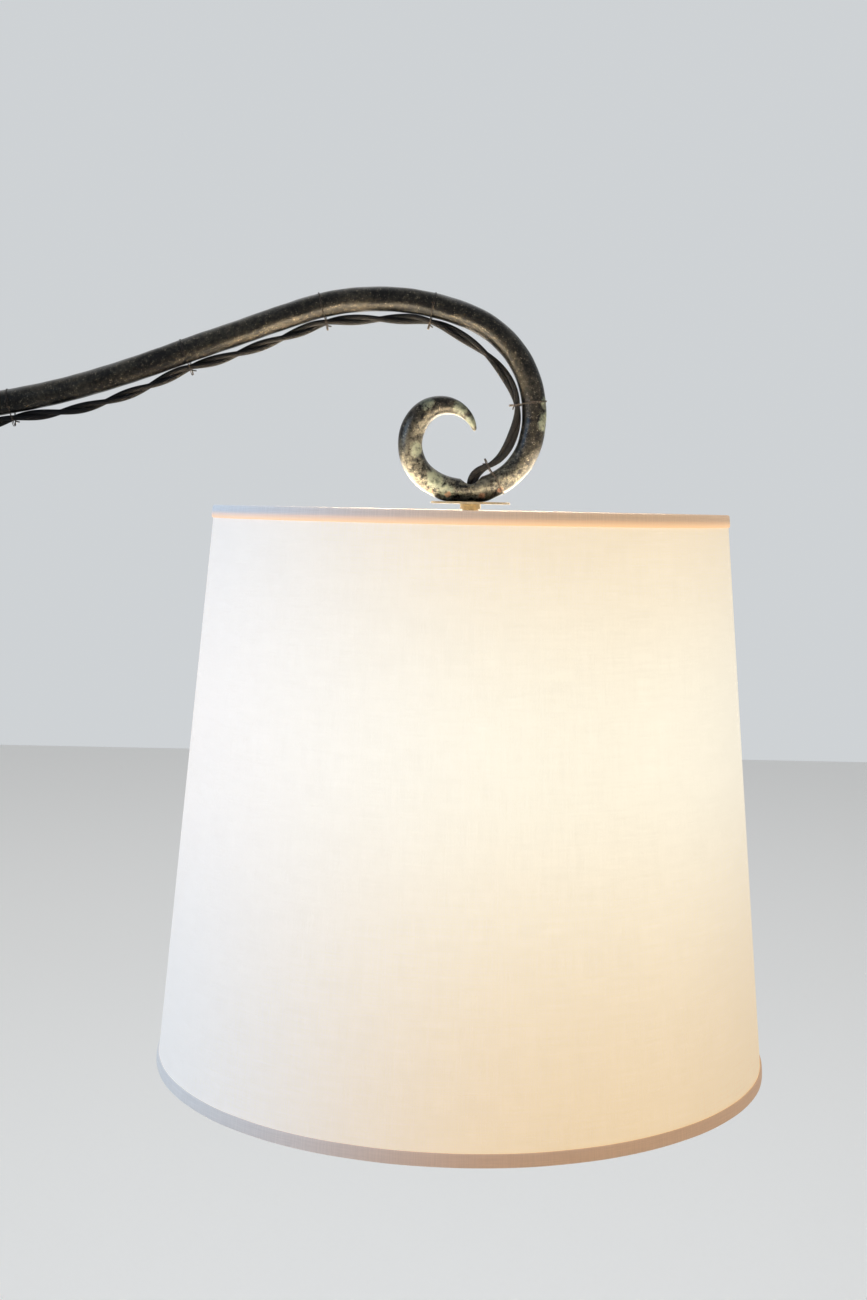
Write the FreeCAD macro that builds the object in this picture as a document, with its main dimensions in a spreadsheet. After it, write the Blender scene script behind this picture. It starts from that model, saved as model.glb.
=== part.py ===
import FreeCAD, Part
import math
import operator
import os

import Sketcher
from FreeCAD import Placement, Rotation, Vector

# Bridge floor lamp: a heavy round base, an upright, an arm of round bar that swivels on the
# upright's top and ends in a scroll, and a linen shade that hangs under the scroll.
# Millimetres. The origin is the middle of the felt on the floor, +Z is up, +X is along the arm.

doc = FreeCAD.newDocument("bridge_floor_lamp")
sheet = doc.addObject("Spreadsheet::Sheet", "sizes")
pieces = {}

ALONG_X = Rotation(Vector(0, 1, 0), 90)
AGAINST_X = Rotation(Vector(0, 1, 0), -90)
ALONG_Y = Rotation(Vector(1, 0, 0), -90)
AGAINST_Y = Rotation(Vector(1, 0, 0), 90)
UPRIGHT = Rotation()

# ---------------------------------------------------------------- driving dimensions

DRIVING_SIZES = {
    # the base
    "base_radius": 145,
    "base_height": 40,
    "base_crown_radius": 44,
    "base_edge_top": 14,
    "base_edge_round": 6,
    "base_dome": 390,
    "base_wall": 6,
    "base_rim_wall": 7,
    "base_hub_radius": 20,
    "base_hub_bottom": 22,
    "felt_thickness": 3,
    "felt_inset": 2,
    "cover_thickness": 1.5,
    "weight_thickness": 9,
    "weight_inner_radius": 28,
    "weight_edge_gap": 15,
    "weight_slot": 9,
    "boss_radius": 6,
    "boss_circle_radius": 80,
    "boss_count": 3,
    "base_screw_diameter": 5,
    "base_screw_head": 9,
    "base_screw_head_height": 1.4,
    "base_screw_length": 17,
    "foot_washer_radius": 16,
    "foot_washer_thickness": 2,
    "foot_nut_flats": 24,
    "foot_nut_height": 11,
    "collar_radius": 21,
    "collar_neck_radius": 12.5,
    "collar_height": 20,
    "collar_foot_height": 5,
    # the upright and the swivel
    "upright_diameter": 19,
    "foot_tenon_diameter": 16,
    "spigot_diameter": 16,
    "stud_diameter": 10,
    "stud_length": 12,
    "hub_diameter": 30,
    "hub_height": 44,
    "hub_bead": 2,
    "hub_bead_height": 6,
    "hub_seat_wall": 3,
    "rest_collar_diameter": 34,
    "rest_collar_height": 12,
    "swivel_washer_thickness": 1.5,
    "top_washer_thickness": 1.2,
    "finial_flange_radius": 13,
    "finial_flange_height": 4,
    "finial_neck_radius": 6.5,
    "finial_neck_height": 5,
    "finial_ball_radius": 11,
    "grub_screw_diameter": 5,
    "thumbscrew_diameter": 6,
    "thumbscrew_shank": 10,
    "thumbscrew_head_radius": 9,
    "thumbscrew_head_height": 9,
    "thumbscrew_collar_height": 2,
    "grip_count": 12,
    "brake_pad_diameter": 5,
    "brake_pad_length": 3,
    # the arm: a straight start, a rise, a ramp, a crest and a scroll of five arcs
    "arm_root_height": 1377.8,
    "arm_neck": 4,
    "rise_radius": 494,
    "rise_turn": 20,
    "ramp_length": 100,
    "crest_radius": 142.6,
    "crest_turn": 41,
    "shoulder_radius": 59.7,
    "shoulder_turn": 83.5,
    "bowl_radius": 39.1,
    "bowl_turn": 107,
    "curl_radius": 24.7,
    "curl_turn": 99,
    "eye_radius": 18.2,
    "eye_turn": 127.5,
    "bar_diameter": 14.3,
    "tip_diameter": 2.3,
    "taper_length": 44,
    "file_depth": 0.9,
    # what hangs from the scroll
    "nipple_offset": 3.7,
    "nipple_diameter": 9.6,
    "nipple_bore": 7,
    "nipple_grip": 8,
    "disc_diameter": 46,
    "disc_thickness": 1.2,
    "nipple_nut_diameter": 12,
    "nipple_nut_height": 3,
    "fitter_depth": 12.2,
    "fitter_nut_diameter": 18,
    "fitter_nut_height": 3,
    "fitter_washer_diameter": 20,
    "fitter_washer_thickness": 0.8,
    "socket_diameter": 32.8,
    "socket_wall": 0.6,
    "cap_wall": 0.8,
    "cap_neck_radius": 8,
    "cap_neck_height": 5,
    "cap_dome_height": 9,
    "cap_lip_height": 6,
    "shell_length": 40,
    "liner_wall": 0.8,
    "block_radius": 14.6,
    "block_drop": 19,
    "block_height": 12,
    "block_flat": 11.2,
    "screw_shell_radius": 13.8,
    "screw_shell_wall": 0.5,
    "contact_radius": 3,
    "contact_height": 2.5,
    "terminal_shank": 2.8,
    "terminal_head": 5.2,
    "terminal_head_height": 1.6,
    "lead_diameter": 2,
    "switch_drop": 25,
    "switch_stem_diameter": 4,
    "switch_hole_radius": 3.5,
    "switch_knob_radius": 7,
    "switch_knob_length": 15,
    "switch_knob_gap": 6,
    "switch_grip": 6,
    # the lamp bulb
    "bulb_radius": 30,
    "bulb_drop": 72,
    "bulb_cap_radius": 13.05,
    "bulb_cap_height": 22,
    "bulb_neck_radius": 13.4,
    "bulb_wall": 1,
    "bulb_stem_radius": 2.5,
    "bulb_stem_height": 40,
    "filament_radius": 9,
    "filament_wire": 1.2,
    # the shade
    "rim_rise": 7.5,
    "shade_top_radius": 148,
    "shade_bottom_radius": 178,
    "shade_height": 324,
    "linen_thickness": 0.4,
    "backing_thickness": 0.5,
    "trim_width": 7,
    "trim_thickness": 0.8,
    "trim_return": 3,
    "ring_wire": 3.2,
    "spoke_wire": 3,
    "spoke_count": 3,
    "spider_radius": 12,
    "spider_thickness": 3,
    # the cord, its ties and its plug
    "cord_diameter": 6.2,
    "tie_wire": 0.7,
    "upright_tie_count": 6,
    "upright_tie_drop": 197.8,
    "upright_tie_bottom": 150,
    "bush_radius": 5,
    "bush_flange_radius": 7.5,
    "bush_flange_height": 2,
    "relief_radius": 5,
    "relief_flange_radius": 6,
    "relief_flange_height": 2.5,
    "relief_tip_radius": 4.2,
    "coil_mean_radius": 35,
    "coil_turns_per_layer": 4,
    "coil_gap": 0.5,
    "strap_width": 8,
    "strap_thickness": 0.7,
    "plug_radius": 12,
    "plug_neck_radius": 5,
    "plug_neck_length": 12,
    "plug_length": 36,
    "blade_length": 17,
    "blade_width": 6.4,
    "blade_thickness": 1.6,
    "blade_spacing": 12.7,
    # how closely things fit
    "running_fit": 0.08,
    "loose_fit": 0.2,
    "glue_line": 0.05,
    "cord_clearance": 0.3,
}

OPERATIONS = {"+": operator.add, "-": operator.sub, "*": operator.mul, "/": operator.truediv}


class Size:
    """A size that carries its number and the formula that gives it from the sheet's cells."""

    def __init__(self, number, formula=None):
        self.number = float(number)
        self.formula = formula if formula is not None else repr(float(number))

    def __float__(self):
        return self.number

    def __add__(self, other):
        return combined(self, other, "+")

    def __radd__(self, other):
        return combined(other, self, "+")

    def __sub__(self, other):
        return combined(self, other, "-")

    def __rsub__(self, other):
        return combined(other, self, "-")

    def __mul__(self, other):
        return combined(self, other, "*")

    def __rmul__(self, other):
        return combined(other, self, "*")

    def __truediv__(self, other):
        return combined(self, other, "/")

    def __neg__(self):
        return combined(0, self, "-")


def as_size(value):
    return value if isinstance(value, Size) else Size(value)


def combined(first, second, sign):
    first = as_size(first)
    second = as_size(second)
    number = OPERATIONS[sign](first.number, second.number)
    return Size(number, f"({first.formula} {sign} {second.formula})")


class Sizes:
    """The sheet's cells as attributes, such as sizes.base_radius."""

    def __init__(self):
        self.row = 0

    def add(self, name, value):
        """Write a plain number, or a formula of earlier cells, into the next row."""
        self.row += 1
        sheet.set(f"A{self.row}", name)
        cell = f"B{self.row}"
        if isinstance(value, Size):
            sheet.set(cell, "=" + value.formula.replace("sizes.", ""))
        else:
            sheet.set(cell, str(value))
        sheet.setAlias(cell, name)
        size = Size(float(value), "sizes." + name)
        setattr(self, name, size)
        return size


sizes = Sizes()
for size_name, size_value in DRIVING_SIZES.items():
    sizes.add(size_name, size_value)
doc.recompute()

# ---------------------------------------------------------------- the arm's centreline


def arm_runs():
    """The arm's runs in order: (length,) for a straight, (radius, turn) for an arc, left turns positive."""
    return (
        (float(sizes.arm_neck),),
        (float(sizes.rise_radius), float(sizes.rise_turn)),
        (float(sizes.ramp_length),),
        (float(sizes.crest_radius), -float(sizes.crest_turn)),
        (float(sizes.shoulder_radius), -float(sizes.shoulder_turn)),
        (float(sizes.bowl_radius), -float(sizes.bowl_turn)),
        (float(sizes.curl_radius), -float(sizes.curl_turn)),
        (float(sizes.eye_radius), -float(sizes.eye_turn)),
    )


class ArmLine:
    """The arm's centreline in the XZ plane, tangent runs one after another."""

    def __init__(self, start, runs):
        self.runs = []
        x, z = start
        heading = 0.0
        station = 0.0
        for run in runs:
            if len(run) == 1:
                length = run[0]
                self.runs.append((station, length, x, z, heading, None, 0))
                x += length * math.cos(heading)
                z += length * math.sin(heading)
            else:
                radius, turn = run[0], math.radians(run[1])
                side = 1 if turn > 0 else -1
                length = radius * abs(turn)
                self.runs.append((station, length, x, z, heading, radius, side))
                centre_x = x - side * radius * math.sin(heading)
                centre_z = z + side * radius * math.cos(heading)
                heading += turn
                x = centre_x + side * radius * math.sin(heading)
                z = centre_z - side * radius * math.cos(heading)
            station += length
        self.length = station

    def at(self, station):
        """Return the point and the unit heading at a distance along the line."""
        run = self.runs[0]
        for candidate in self.runs:
            if station >= candidate[0]:
                run = candidate
        start, _, x, z, heading, radius, side = run
        along = station - start
        if radius is None:
            point = Vector(x + along * math.cos(heading), 0, z + along * math.sin(heading))
        else:
            turned_heading = heading + side * along / radius
            point = Vector(
                x + side * radius * (math.sin(turned_heading) - math.sin(heading)),
                0,
                z - side * radius * (math.cos(turned_heading) - math.cos(heading)),
            )
            heading = turned_heading
        return point, Vector(math.cos(heading), 0, math.sin(heading))

    def lowest_of_scroll(self):
        """The lowest point of the centreline past the crest, where the line heads back to the upright."""
        best = None
        for start, length, x, z, heading, radius, side in self.runs:
            if side < 0 and heading > -math.pi >= heading + side * length / radius:
                best, _ = self.at(start + radius * (heading + math.pi))
        return best

    def edges(self, end_station):
        """The line from its start to a station, as straight and arc edges."""
        made = []
        for start, length, *_ in self.runs:
            stop = min(start + length, end_station)
            if stop - start < 1e-6:
                break
            first, _ = self.at(start)
            # the run's own end, a hair inside it, so that the next run isn't read
            last, _ = self.at(stop - 1e-9)
            middle, _ = self.at((start + stop) / 2)
            straight = (middle - (first + last) / 2).Length < 1e-6
            shape = Part.LineSegment(first, last) if straight else Part.Arc(first, middle, last)
            made.append(shape.toShape())
        return made


bar_seat_x = sizes.spigot_diameter / 2 + sizes.hub_seat_wall
arm_line = ArmLine((float(bar_seat_x), float(sizes.arm_root_height)), arm_runs())
scroll_low = arm_line.lowest_of_scroll()

# ---------------------------------------------------------------- sizes worked out from the driving ones

bar_radius = sizes.bar_diameter / 2
cord_radius = sizes.cord_diameter / 2
nipple_radius = sizes.nipple_diameter / 2

# the scroll's lowest point comes from the arm's runs above
scroll_low_x = sizes.add("scroll_low_x", round(scroll_low.x, 6))
scroll_low_z = sizes.add("scroll_low_z", round(scroll_low.z, 6))
reach = sizes.add("reach", scroll_low_x + sizes.nipple_offset)
seat_z = sizes.add("seat_height", scroll_low_z - bar_radius + sizes.file_depth)
spider_top = sizes.add("spider_top", seat_z - sizes.fitter_depth)
cap_top = sizes.add("cap_top", spider_top - sizes.spider_thickness - sizes.fitter_washer_thickness)
rim_z = sizes.add("rim_height", spider_top + sizes.rim_rise)
block_top = sizes.add("block_top", cap_top - sizes.block_drop)
block_bottom = sizes.add("block_bottom", block_top - sizes.block_height)
shell_bottom = sizes.add("shell_bottom", cap_top - sizes.cap_neck_height - sizes.cap_dome_height - sizes.shell_length)

cover_top = sizes.add("cover_top", sizes.felt_thickness + sizes.cover_thickness)
weight_top = sizes.add("weight_top", cover_top + sizes.weight_thickness)
hub_bottom = sizes.add("hub_bottom", sizes.arm_root_height - sizes.hub_height / 2)
hub_top = sizes.add("hub_top", sizes.arm_root_height + sizes.hub_height / 2)
shoulder_z = sizes.add("shoulder_height", hub_bottom - sizes.swivel_washer_thickness)
spigot_top = sizes.add("spigot_top", hub_top + sizes.loose_fit)
hub_bore = sizes.add("hub_bore", sizes.spigot_diameter / 2 + sizes.running_fit)
doc.recompute()

# ---------------------------------------------------------------- how shapes are made


def place(piece, x=0, y=0, z=0, rotation=UPRIGHT):
    """Put a piece in the lamp, with each coordinate bound to the sheet where it is a Size."""
    piece.Placement = Placement(Vector(float(x), float(y), float(z)), rotation)
    for axis, value in (("x", x), ("y", y), ("z", z)):
        if isinstance(value, Size):
            piece.setExpression(f".Placement.Base.{axis}", value.formula)
    return piece


def bind(piece, name, value):
    """Set a property and bind it to the sheet."""
    value = as_size(value)
    setattr(piece, name, value.number)
    piece.setExpression(name, value.formula)


def cylinder(name, radius, height, x=0, y=0, z=0, rotation=UPRIGHT):
    piece = doc.addObject("Part::Cylinder", name)
    bind(piece, "Radius", radius)
    bind(piece, "Height", height)
    return place(piece, x, y, z, rotation)


def box(name, length, width, height, x=0, y=0, z=0, rotation=UPRIGHT):
    piece = doc.addObject("Part::Box", name)
    bind(piece, "Length", length)
    bind(piece, "Width", width)
    bind(piece, "Height", height)
    return place(piece, x, y, z, rotation)


def origin_plane(body, role):
    for feature in body.Origin.OriginFeatures:
        if feature.Role == role:
            return feature
    raise RuntimeError(f"{body.Label} has no {role}")


def new_body(name):
    return doc.addObject("PartDesign::Body", name)


def new_sketch(body, name, role, offset=0):
    """A sketch on one of the body's own planes, moved along the plane's normal by the offset."""
    sketch = body.newObject("Sketcher::SketchObject", name)
    sketch.AttachmentSupport = (origin_plane(body, role), [""])
    sketch.MapMode = "FlatFace"
    offset = as_size(offset)
    sketch.AttachmentOffset = Placement(Vector(0, 0, offset.number), Rotation())
    sketch.setExpression(".AttachmentOffset.Base.z", offset.formula)
    return sketch


def bulge(first, last, radius):
    """An arc between two corners; a positive radius bends to the left of the way from first to last."""
    chord = last - first
    half = chord.Length / 2
    left = Vector(-chord.y, chord.x, 0).normalize()
    side = 1 if radius > 0 else -1
    rise = math.sqrt(max(radius * radius - half * half, 0))
    centre = (first + last) / 2 + left * (side * rise)
    start, stop = (first, last) if side > 0 else (last, first)
    angles = [math.atan2(point.y - centre.y, point.x - centre.x) for point in (start, stop)]
    circle = Part.Circle(centre, Vector(0, 0, 1), abs(radius))
    return Part.ArcOfCircle(circle, *angles), side > 0


def fix_corner(sketch, edge, end, corner):
    """Hold one end of an edge at its corner, each coordinate bound to the sheet."""
    for kind, axis, value in (("DistanceX", -2, corner[0]), ("DistanceY", -1, corner[1])):
        if not isinstance(value, Size) and value == 0:
            sketch.addConstraint(Sketcher.Constraint("PointOnObject", edge, end, axis))
            continue
        value = as_size(value)
        index = sketch.addConstraint(Sketcher.Constraint(kind, -1, 1, edge, end, value.number))
        sketch.setExpression(f"Constraints[{index}]", value.formula)


def outline(sketch, corners):
    """Draw a closed outline. A corner is (x, y), or (x, y, radius) where an arc leads on from it."""
    points = [Vector(float(corner[0]), float(corner[1]), 0) for corner in corners]
    ends = []
    first_edge = sketch.GeometryCount
    for index, corner in enumerate(corners):
        first = points[index]
        last = points[(index + 1) % len(points)]
        if len(corner) == 3:
            shape, forward = bulge(first, last, float(corner[2]))
        else:
            shape, forward = Part.LineSegment(first, last), True
        sketch.addGeometry(shape, False)
        ends.append((1, 2) if forward else (2, 1))
    for index, corner in enumerate(corners):
        edge = first_edge + index
        following = (index + 1) % len(corners)
        joint = Sketcher.Constraint("Coincident", edge, ends[index][1], first_edge + following, ends[following][0])
        sketch.addConstraint(joint)
        fix_corner(sketch, edge, ends[index][0], corner)
        if len(corner) == 3:
            radius = as_size(corner[2])
            formula = radius.formula if radius.number > 0 else f"-({radius.formula})"
            number = sketch.addConstraint(Sketcher.Constraint("Radius", edge, abs(radius.number)))
            sketch.setExpression(f"Constraints[{number}]", formula)


def round_hole(sketch, x, y, radius):
    """Draw a circle whose centre and radius are bound to the sheet."""
    circle = Part.Circle(Vector(float(x), float(y), 0), Vector(0, 0, 1), float(radius))
    edge = sketch.addGeometry(circle, False)
    fix_corner(sketch, edge, 3, (x, y))
    number = sketch.addConstraint(Sketcher.Constraint("Radius", edge, float(radius)))
    sketch.setExpression(f"Constraints[{number}]", as_size(radius).formula)


def turned(name, corners, x=0, y=0, z=0, rotation=UPRIGHT):
    """A turned piece: an outline of (radius, height) corners, spun about the Z axis."""
    body = new_body(name)
    sketch = new_sketch(body, name + "_profile", "XZ_Plane")
    outline(sketch, corners)
    revolution = body.newObject("PartDesign::Revolution", name + "_turning")
    revolution.Profile = sketch
    revolution.ReferenceAxis = (sketch, ["V_Axis"])
    revolution.Angle = 360
    return place(body, x, y, z, rotation)


def ring(name, inner, outer, height, x=0, y=0, z=0, rotation=UPRIGHT):
    """A flat ring, such as a washer, standing on its placement."""
    corners = ((inner, 0), (outer, 0), (outer, height), (inner, height))
    return turned(name, corners, x, y, z, rotation)


def padded(name, corners, height, hole=None, x=0, y=0, z=0, rotation=UPRIGHT):
    """A straight-sided piece: an outline of (x, y) corners, raised by its height, with a round hole."""
    body = new_body(name)
    sketch = new_sketch(body, name + "_outline", "XY_Plane")
    outline(sketch, corners)
    if hole is not None:
        round_hole(sketch, 0, 0, hole)
    pad = body.newObject("PartDesign::Pad", name + "_pad")
    pad.Profile = sketch
    bind(pad, "Length", height)
    return place(body, x, y, z, rotation)


def hexagon(across_flats):
    """The corners of a hexagon."""
    corner_radius = across_flats / (2 * math.cos(math.radians(30)))
    angles = [math.radians(60 * step) for step in range(6)]
    return [(corner_radius * math.cos(angle), corner_radius * math.sin(angle)) for angle in angles]


def cut(name, base, *tools):
    """A piece less its tools."""
    tool = tools[0]
    if len(tools) > 1:
        tool = doc.addObject("Part::MultiFuse", name + "_tools")
        tool.Shapes = list(tools)
    result = doc.addObject("Part::Cut", name)
    result.Base = base
    result.Tool = tool
    return result


def group(name, members):
    """Several separate solids in one node."""
    result = doc.addObject("Part::Compound", name)
    result.Links = list(members)
    return result


def shaped(name, shape):
    """A piece whose shape is swept or lofted by the functions below."""
    result = doc.addObject("Part::Feature", name)
    result.Shape = shape
    result.Placement = Placement()
    return result


def keep(node, piece):
    """Give a piece its node's name."""
    piece.Label = node
    pieces[node] = piece
    return piece


# ---------------------------------------------------------------- lines for cords and wires


def corner_arc(start, corner, end):
    """The arc that touches start-corner and corner-end, both the same length."""
    middle = (start + end) / 2
    half_chord = (end - start).Length / 2
    tangent = (corner - start).Length
    half_turn = math.acos(min(1.0, half_chord / tangent))
    apex = middle + (corner - middle) * (math.tan(half_turn / 2) / math.tan(half_turn))
    return Part.Arc(start, apex, end)


def rounded_wire(points, name):
    """Straight runs joined by tangent arcs, each as large as its two runs allow."""
    edges = []
    radii = []
    start = points[0]
    for before, corner, after in zip(points, points[1:], points[2:]):
        to_corner = corner - before
        from_corner = after - corner
        setback = 0.45 * min(to_corner.Length, from_corner.Length)
        turn = to_corner.getAngle(from_corner)
        radii.append(setback / math.tan(turn / 2))
        arc_start = corner - to_corner.normalize() * setback
        arc_end = corner + from_corner.normalize() * setback
        edges.append(Part.LineSegment(start, arc_start).toShape())
        edges.append(corner_arc(arc_start, corner, arc_end).toShape())
        start = arc_end
    edges.append(Part.LineSegment(start, points[-1]).toShape())
    print(f"{name}: least radius {min(radii):.1f}, radii", " ".join(f"{radius:.0f}" for radius in radii))
    return Part.Wire(edges)


def tube(wire, radius, name):
    """A round tube along a wire, with its volume set against section times length."""
    first_edge = wire.OrderedEdges[0]
    start = first_edge.valueAt(first_edge.FirstParameter)
    direction = first_edge.tangentAt(first_edge.FirstParameter)
    if (start - wire.OrderedVertexes[0].Point).Length > 1e-6:
        start = wire.OrderedVertexes[0].Point
        direction = first_edge.tangentAt(first_edge.LastParameter) * -1
    section = Part.Wire([Part.makeCircle(radius, start, direction)])
    solid = wire.makePipeShell([section], True, False)
    share = solid.Volume / (math.pi * radius * radius * wire.Length)
    print(f"{name}: length {wire.Length:.1f}, volume over section times length {share:.4f}")
    return solid


def cord(name, points):
    """A cord along its route, as one tube."""
    wire = rounded_wire([Vector(*point) for point in points], name)
    keep(name, shaped(name, tube(wire, float(cord_radius), name)))
    return wire


def biarc(start, start_heading, end, end_heading):
    """Two arcs that join two points and keep both headings."""
    span = end - start
    both = start_heading + end_heading
    closing = 2 * (1 - start_heading.dot(end_heading))
    along = span.dot(both)
    reach_out = (-along + math.sqrt(along * along + closing * span.dot(span))) / closing
    first_corner = start + start_heading * reach_out
    second_corner = end - end_heading * reach_out
    middle = (first_corner + second_corner) / 2
    return [
        corner_arc(start, first_corner, middle).toShape(),
        corner_arc(middle, second_corner, end).toShape(),
    ]


def belt(first, first_radius, second, second_radius, wire_radius, name):
    """A closed loop of wire round two round things, in the plane across them."""
    across = second.sub(first)
    distance = across.Length
    across.normalize()
    lift = math.acos((first_radius - second_radius) / distance)

    def around(centre, radius, normal, angle):
        return centre + across * (radius * math.cos(angle)) + normal * (radius * math.sin(angle))

    def loop(normal):
        corners = [around(first, first_radius, normal, angle) for angle in (lift, math.pi, -lift)]
        ends = [around(second, second_radius, normal, angle) for angle in (-lift, 0, lift)]
        return Part.Wire([
            Part.Arc(*corners).toShape(),
            Part.LineSegment(corners[2], ends[0]).toShape(),
            Part.Arc(*ends).toShape(),
            Part.LineSegment(ends[2], corners[0]).toShape(),
        ])

    return lambda normal: tube(loop(normal), wire_radius, name)


# ---------------------------------------------------------------- the base


def make_base():
    slope = (sizes.base_height - sizes.base_edge_top - sizes.base_edge_round) / (
        sizes.base_radius - sizes.base_edge_round - sizes.base_crown_radius
    )
    rim_inner = sizes.base_radius - sizes.base_rim_wall
    roof = sizes.base_height - sizes.base_wall
    roof_at_rim = roof - slope * (rim_inner - sizes.base_crown_radius)
    tenon_hole = sizes.foot_tenon_diameter / 2 + sizes.loose_fit
    casting = turned("base_casting", (
        (tenon_hole, sizes.base_hub_bottom),
        (sizes.base_hub_radius, sizes.base_hub_bottom),
        (sizes.base_hub_radius, roof),
        (sizes.base_crown_radius, roof),
        (rim_inner, roof_at_rim),
        (rim_inner, sizes.felt_thickness),
        (sizes.base_radius, sizes.felt_thickness),
        (sizes.base_radius, sizes.base_edge_top, sizes.base_edge_round),
        (sizes.base_radius - sizes.base_edge_round, sizes.base_edge_top + sizes.base_edge_round, sizes.base_dome),
        (sizes.base_crown_radius, sizes.base_height),
        (tenon_hole, sizes.base_height),
    ))

    # bosses that take the screws of the weight and the cover
    boss_roof = roof - slope * (sizes.boss_circle_radius - sizes.base_crown_radius) + sizes.base_wall / 3
    boss_sketch = new_sketch(casting, "boss_circle", "XY_Plane", weight_top)
    round_hole(boss_sketch, sizes.boss_circle_radius, 0, sizes.boss_radius)
    boss = casting.newObject("PartDesign::Pad", "boss")
    boss.Profile = boss_sketch
    bind(boss, "Length", boss_roof - weight_top)
    hole_sketch = new_sketch(casting, "boss_hole_circle", "XY_Plane", weight_top)
    round_hole(hole_sketch, sizes.boss_circle_radius, 0, sizes.base_screw_diameter / 2 + sizes.running_fit)
    hole = casting.newObject("PartDesign::Pocket", "boss_hole")
    hole.Profile = hole_sketch
    hole.Reversed = True
    bind(hole, "Length", sizes.base_screw_length - sizes.cover_thickness - sizes.weight_thickness + 1)
    doc.recompute()
    pattern = casting.newObject("PartDesign::PolarPattern", "bosses")
    pattern.Originals = [boss, hole]
    pattern.Axis = (origin_plane(casting, "Z_Axis"), [""])
    pattern.Angle = 360
    pattern.Occurrences = int(sizes.boss_count.number)
    pattern.setExpression("Occurrences", sizes.boss_count.formula)
    casting.Tip = pattern

    relief_hole = cylinder(
        "relief_hole", sizes.relief_radius + sizes.glue_line, sizes.base_rim_wall * 3,
        y=rim_inner - sizes.base_rim_wall, z=RELIEF_HEIGHT, rotation=ALONG_Y,
    )
    bush_hole = cylinder(
        "bush_hole", sizes.bush_radius + sizes.glue_line, sizes.base_wall * 3,
        y=CORD_ENTRY, z=sizes.base_height - sizes.base_wall * 2,
    )
    keep("base_casting", cut("base_plate", casting, relief_hole, bush_hole))

    felt_radius = sizes.base_radius - sizes.felt_inset
    keep("felt_pad", cylinder("felt_pad", felt_radius, sizes.felt_thickness))

    cover = cylinder("cover_disc", rim_inner - sizes.loose_fit, sizes.cover_thickness, z=sizes.felt_thickness)
    weight = ring(
        "weight_ring", sizes.weight_inner_radius, sizes.base_radius - sizes.weight_edge_gap,
        sizes.weight_thickness, z=cover_top,
    )
    slot = box(
        "weight_slot_tool", sizes.weight_slot, sizes.base_radius, sizes.weight_thickness * 2,
        x=-sizes.weight_slot / 2, z=cover_top - sizes.weight_thickness / 2,
    )
    count = int(sizes.boss_count.number)
    turns = [math.radians(360 * index / count) for index in range(count)]
    spots = [(sizes.boss_circle_radius * math.cos(turn), sizes.boss_circle_radius * math.sin(turn)) for turn in turns]
    clearance_radius = sizes.base_screw_diameter / 2 + sizes.loose_fit
    cover_holes = []
    weight_holes = []
    screws = []
    head_height = sizes.base_screw_head_height
    for index, (x, y) in enumerate(spots):
        cover_holes.append(cylinder(f"cover_hole_{index}", sizes.base_screw_head / 2 + sizes.loose_fit,
                                    sizes.cover_thickness * 3, x, y, sizes.felt_thickness - sizes.cover_thickness))
        weight_holes.append(cylinder(f"weight_hole_{index}", clearance_radius,
                                     sizes.weight_thickness * 2, x, y, cover_top - sizes.weight_thickness / 2))
        screws.append(turned(f"base_screw_{index}", (
            (0, 0),
            (sizes.base_screw_head / 2, 0),
            (sizes.base_screw_head / 2, head_height),
            (sizes.base_screw_diameter / 2, head_height),
            (sizes.base_screw_diameter / 2, sizes.base_screw_length),
            (0, sizes.base_screw_length),
        ), x, y, cover_top - head_height))
    keep("base_cover", cut("base_cover", cover, *cover_holes))
    keep("base_weight", cut("base_weight", weight, slot, *weight_holes))
    keep("base_screws", group("base_screws", screws))

    keep("foot_washer", ring(
        "foot_washer", tenon_hole, sizes.foot_washer_radius, sizes.foot_washer_thickness,
        z=sizes.base_hub_bottom - sizes.foot_washer_thickness,
    ))
    keep("foot_nut", padded(
        "foot_nut", hexagon(sizes.foot_nut_flats), sizes.foot_nut_height,
        hole=sizes.foot_tenon_diameter / 2 + sizes.running_fit,
        z=sizes.base_hub_bottom - sizes.foot_washer_thickness - sizes.foot_nut_height,
    ))
    collar_bore = sizes.upright_diameter / 2 + sizes.running_fit
    collar_curve = sizes.collar_height - sizes.collar_foot_height
    keep("base_collar", turned("base_collar", (
        (collar_bore, 0),
        (sizes.collar_radius, 0),
        (sizes.collar_radius, sizes.collar_foot_height, -collar_curve),
        (sizes.collar_neck_radius, sizes.collar_height),
        (collar_bore, sizes.collar_height),
    ), z=sizes.base_height))


# where the cord goes through the base: down through its crown, out through its back
CORD_ENTRY = 34
RELIEF_HEIGHT = 9
RELIEF_LENGTH = 28


# ---------------------------------------------------------------- the upright and the swivel


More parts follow.
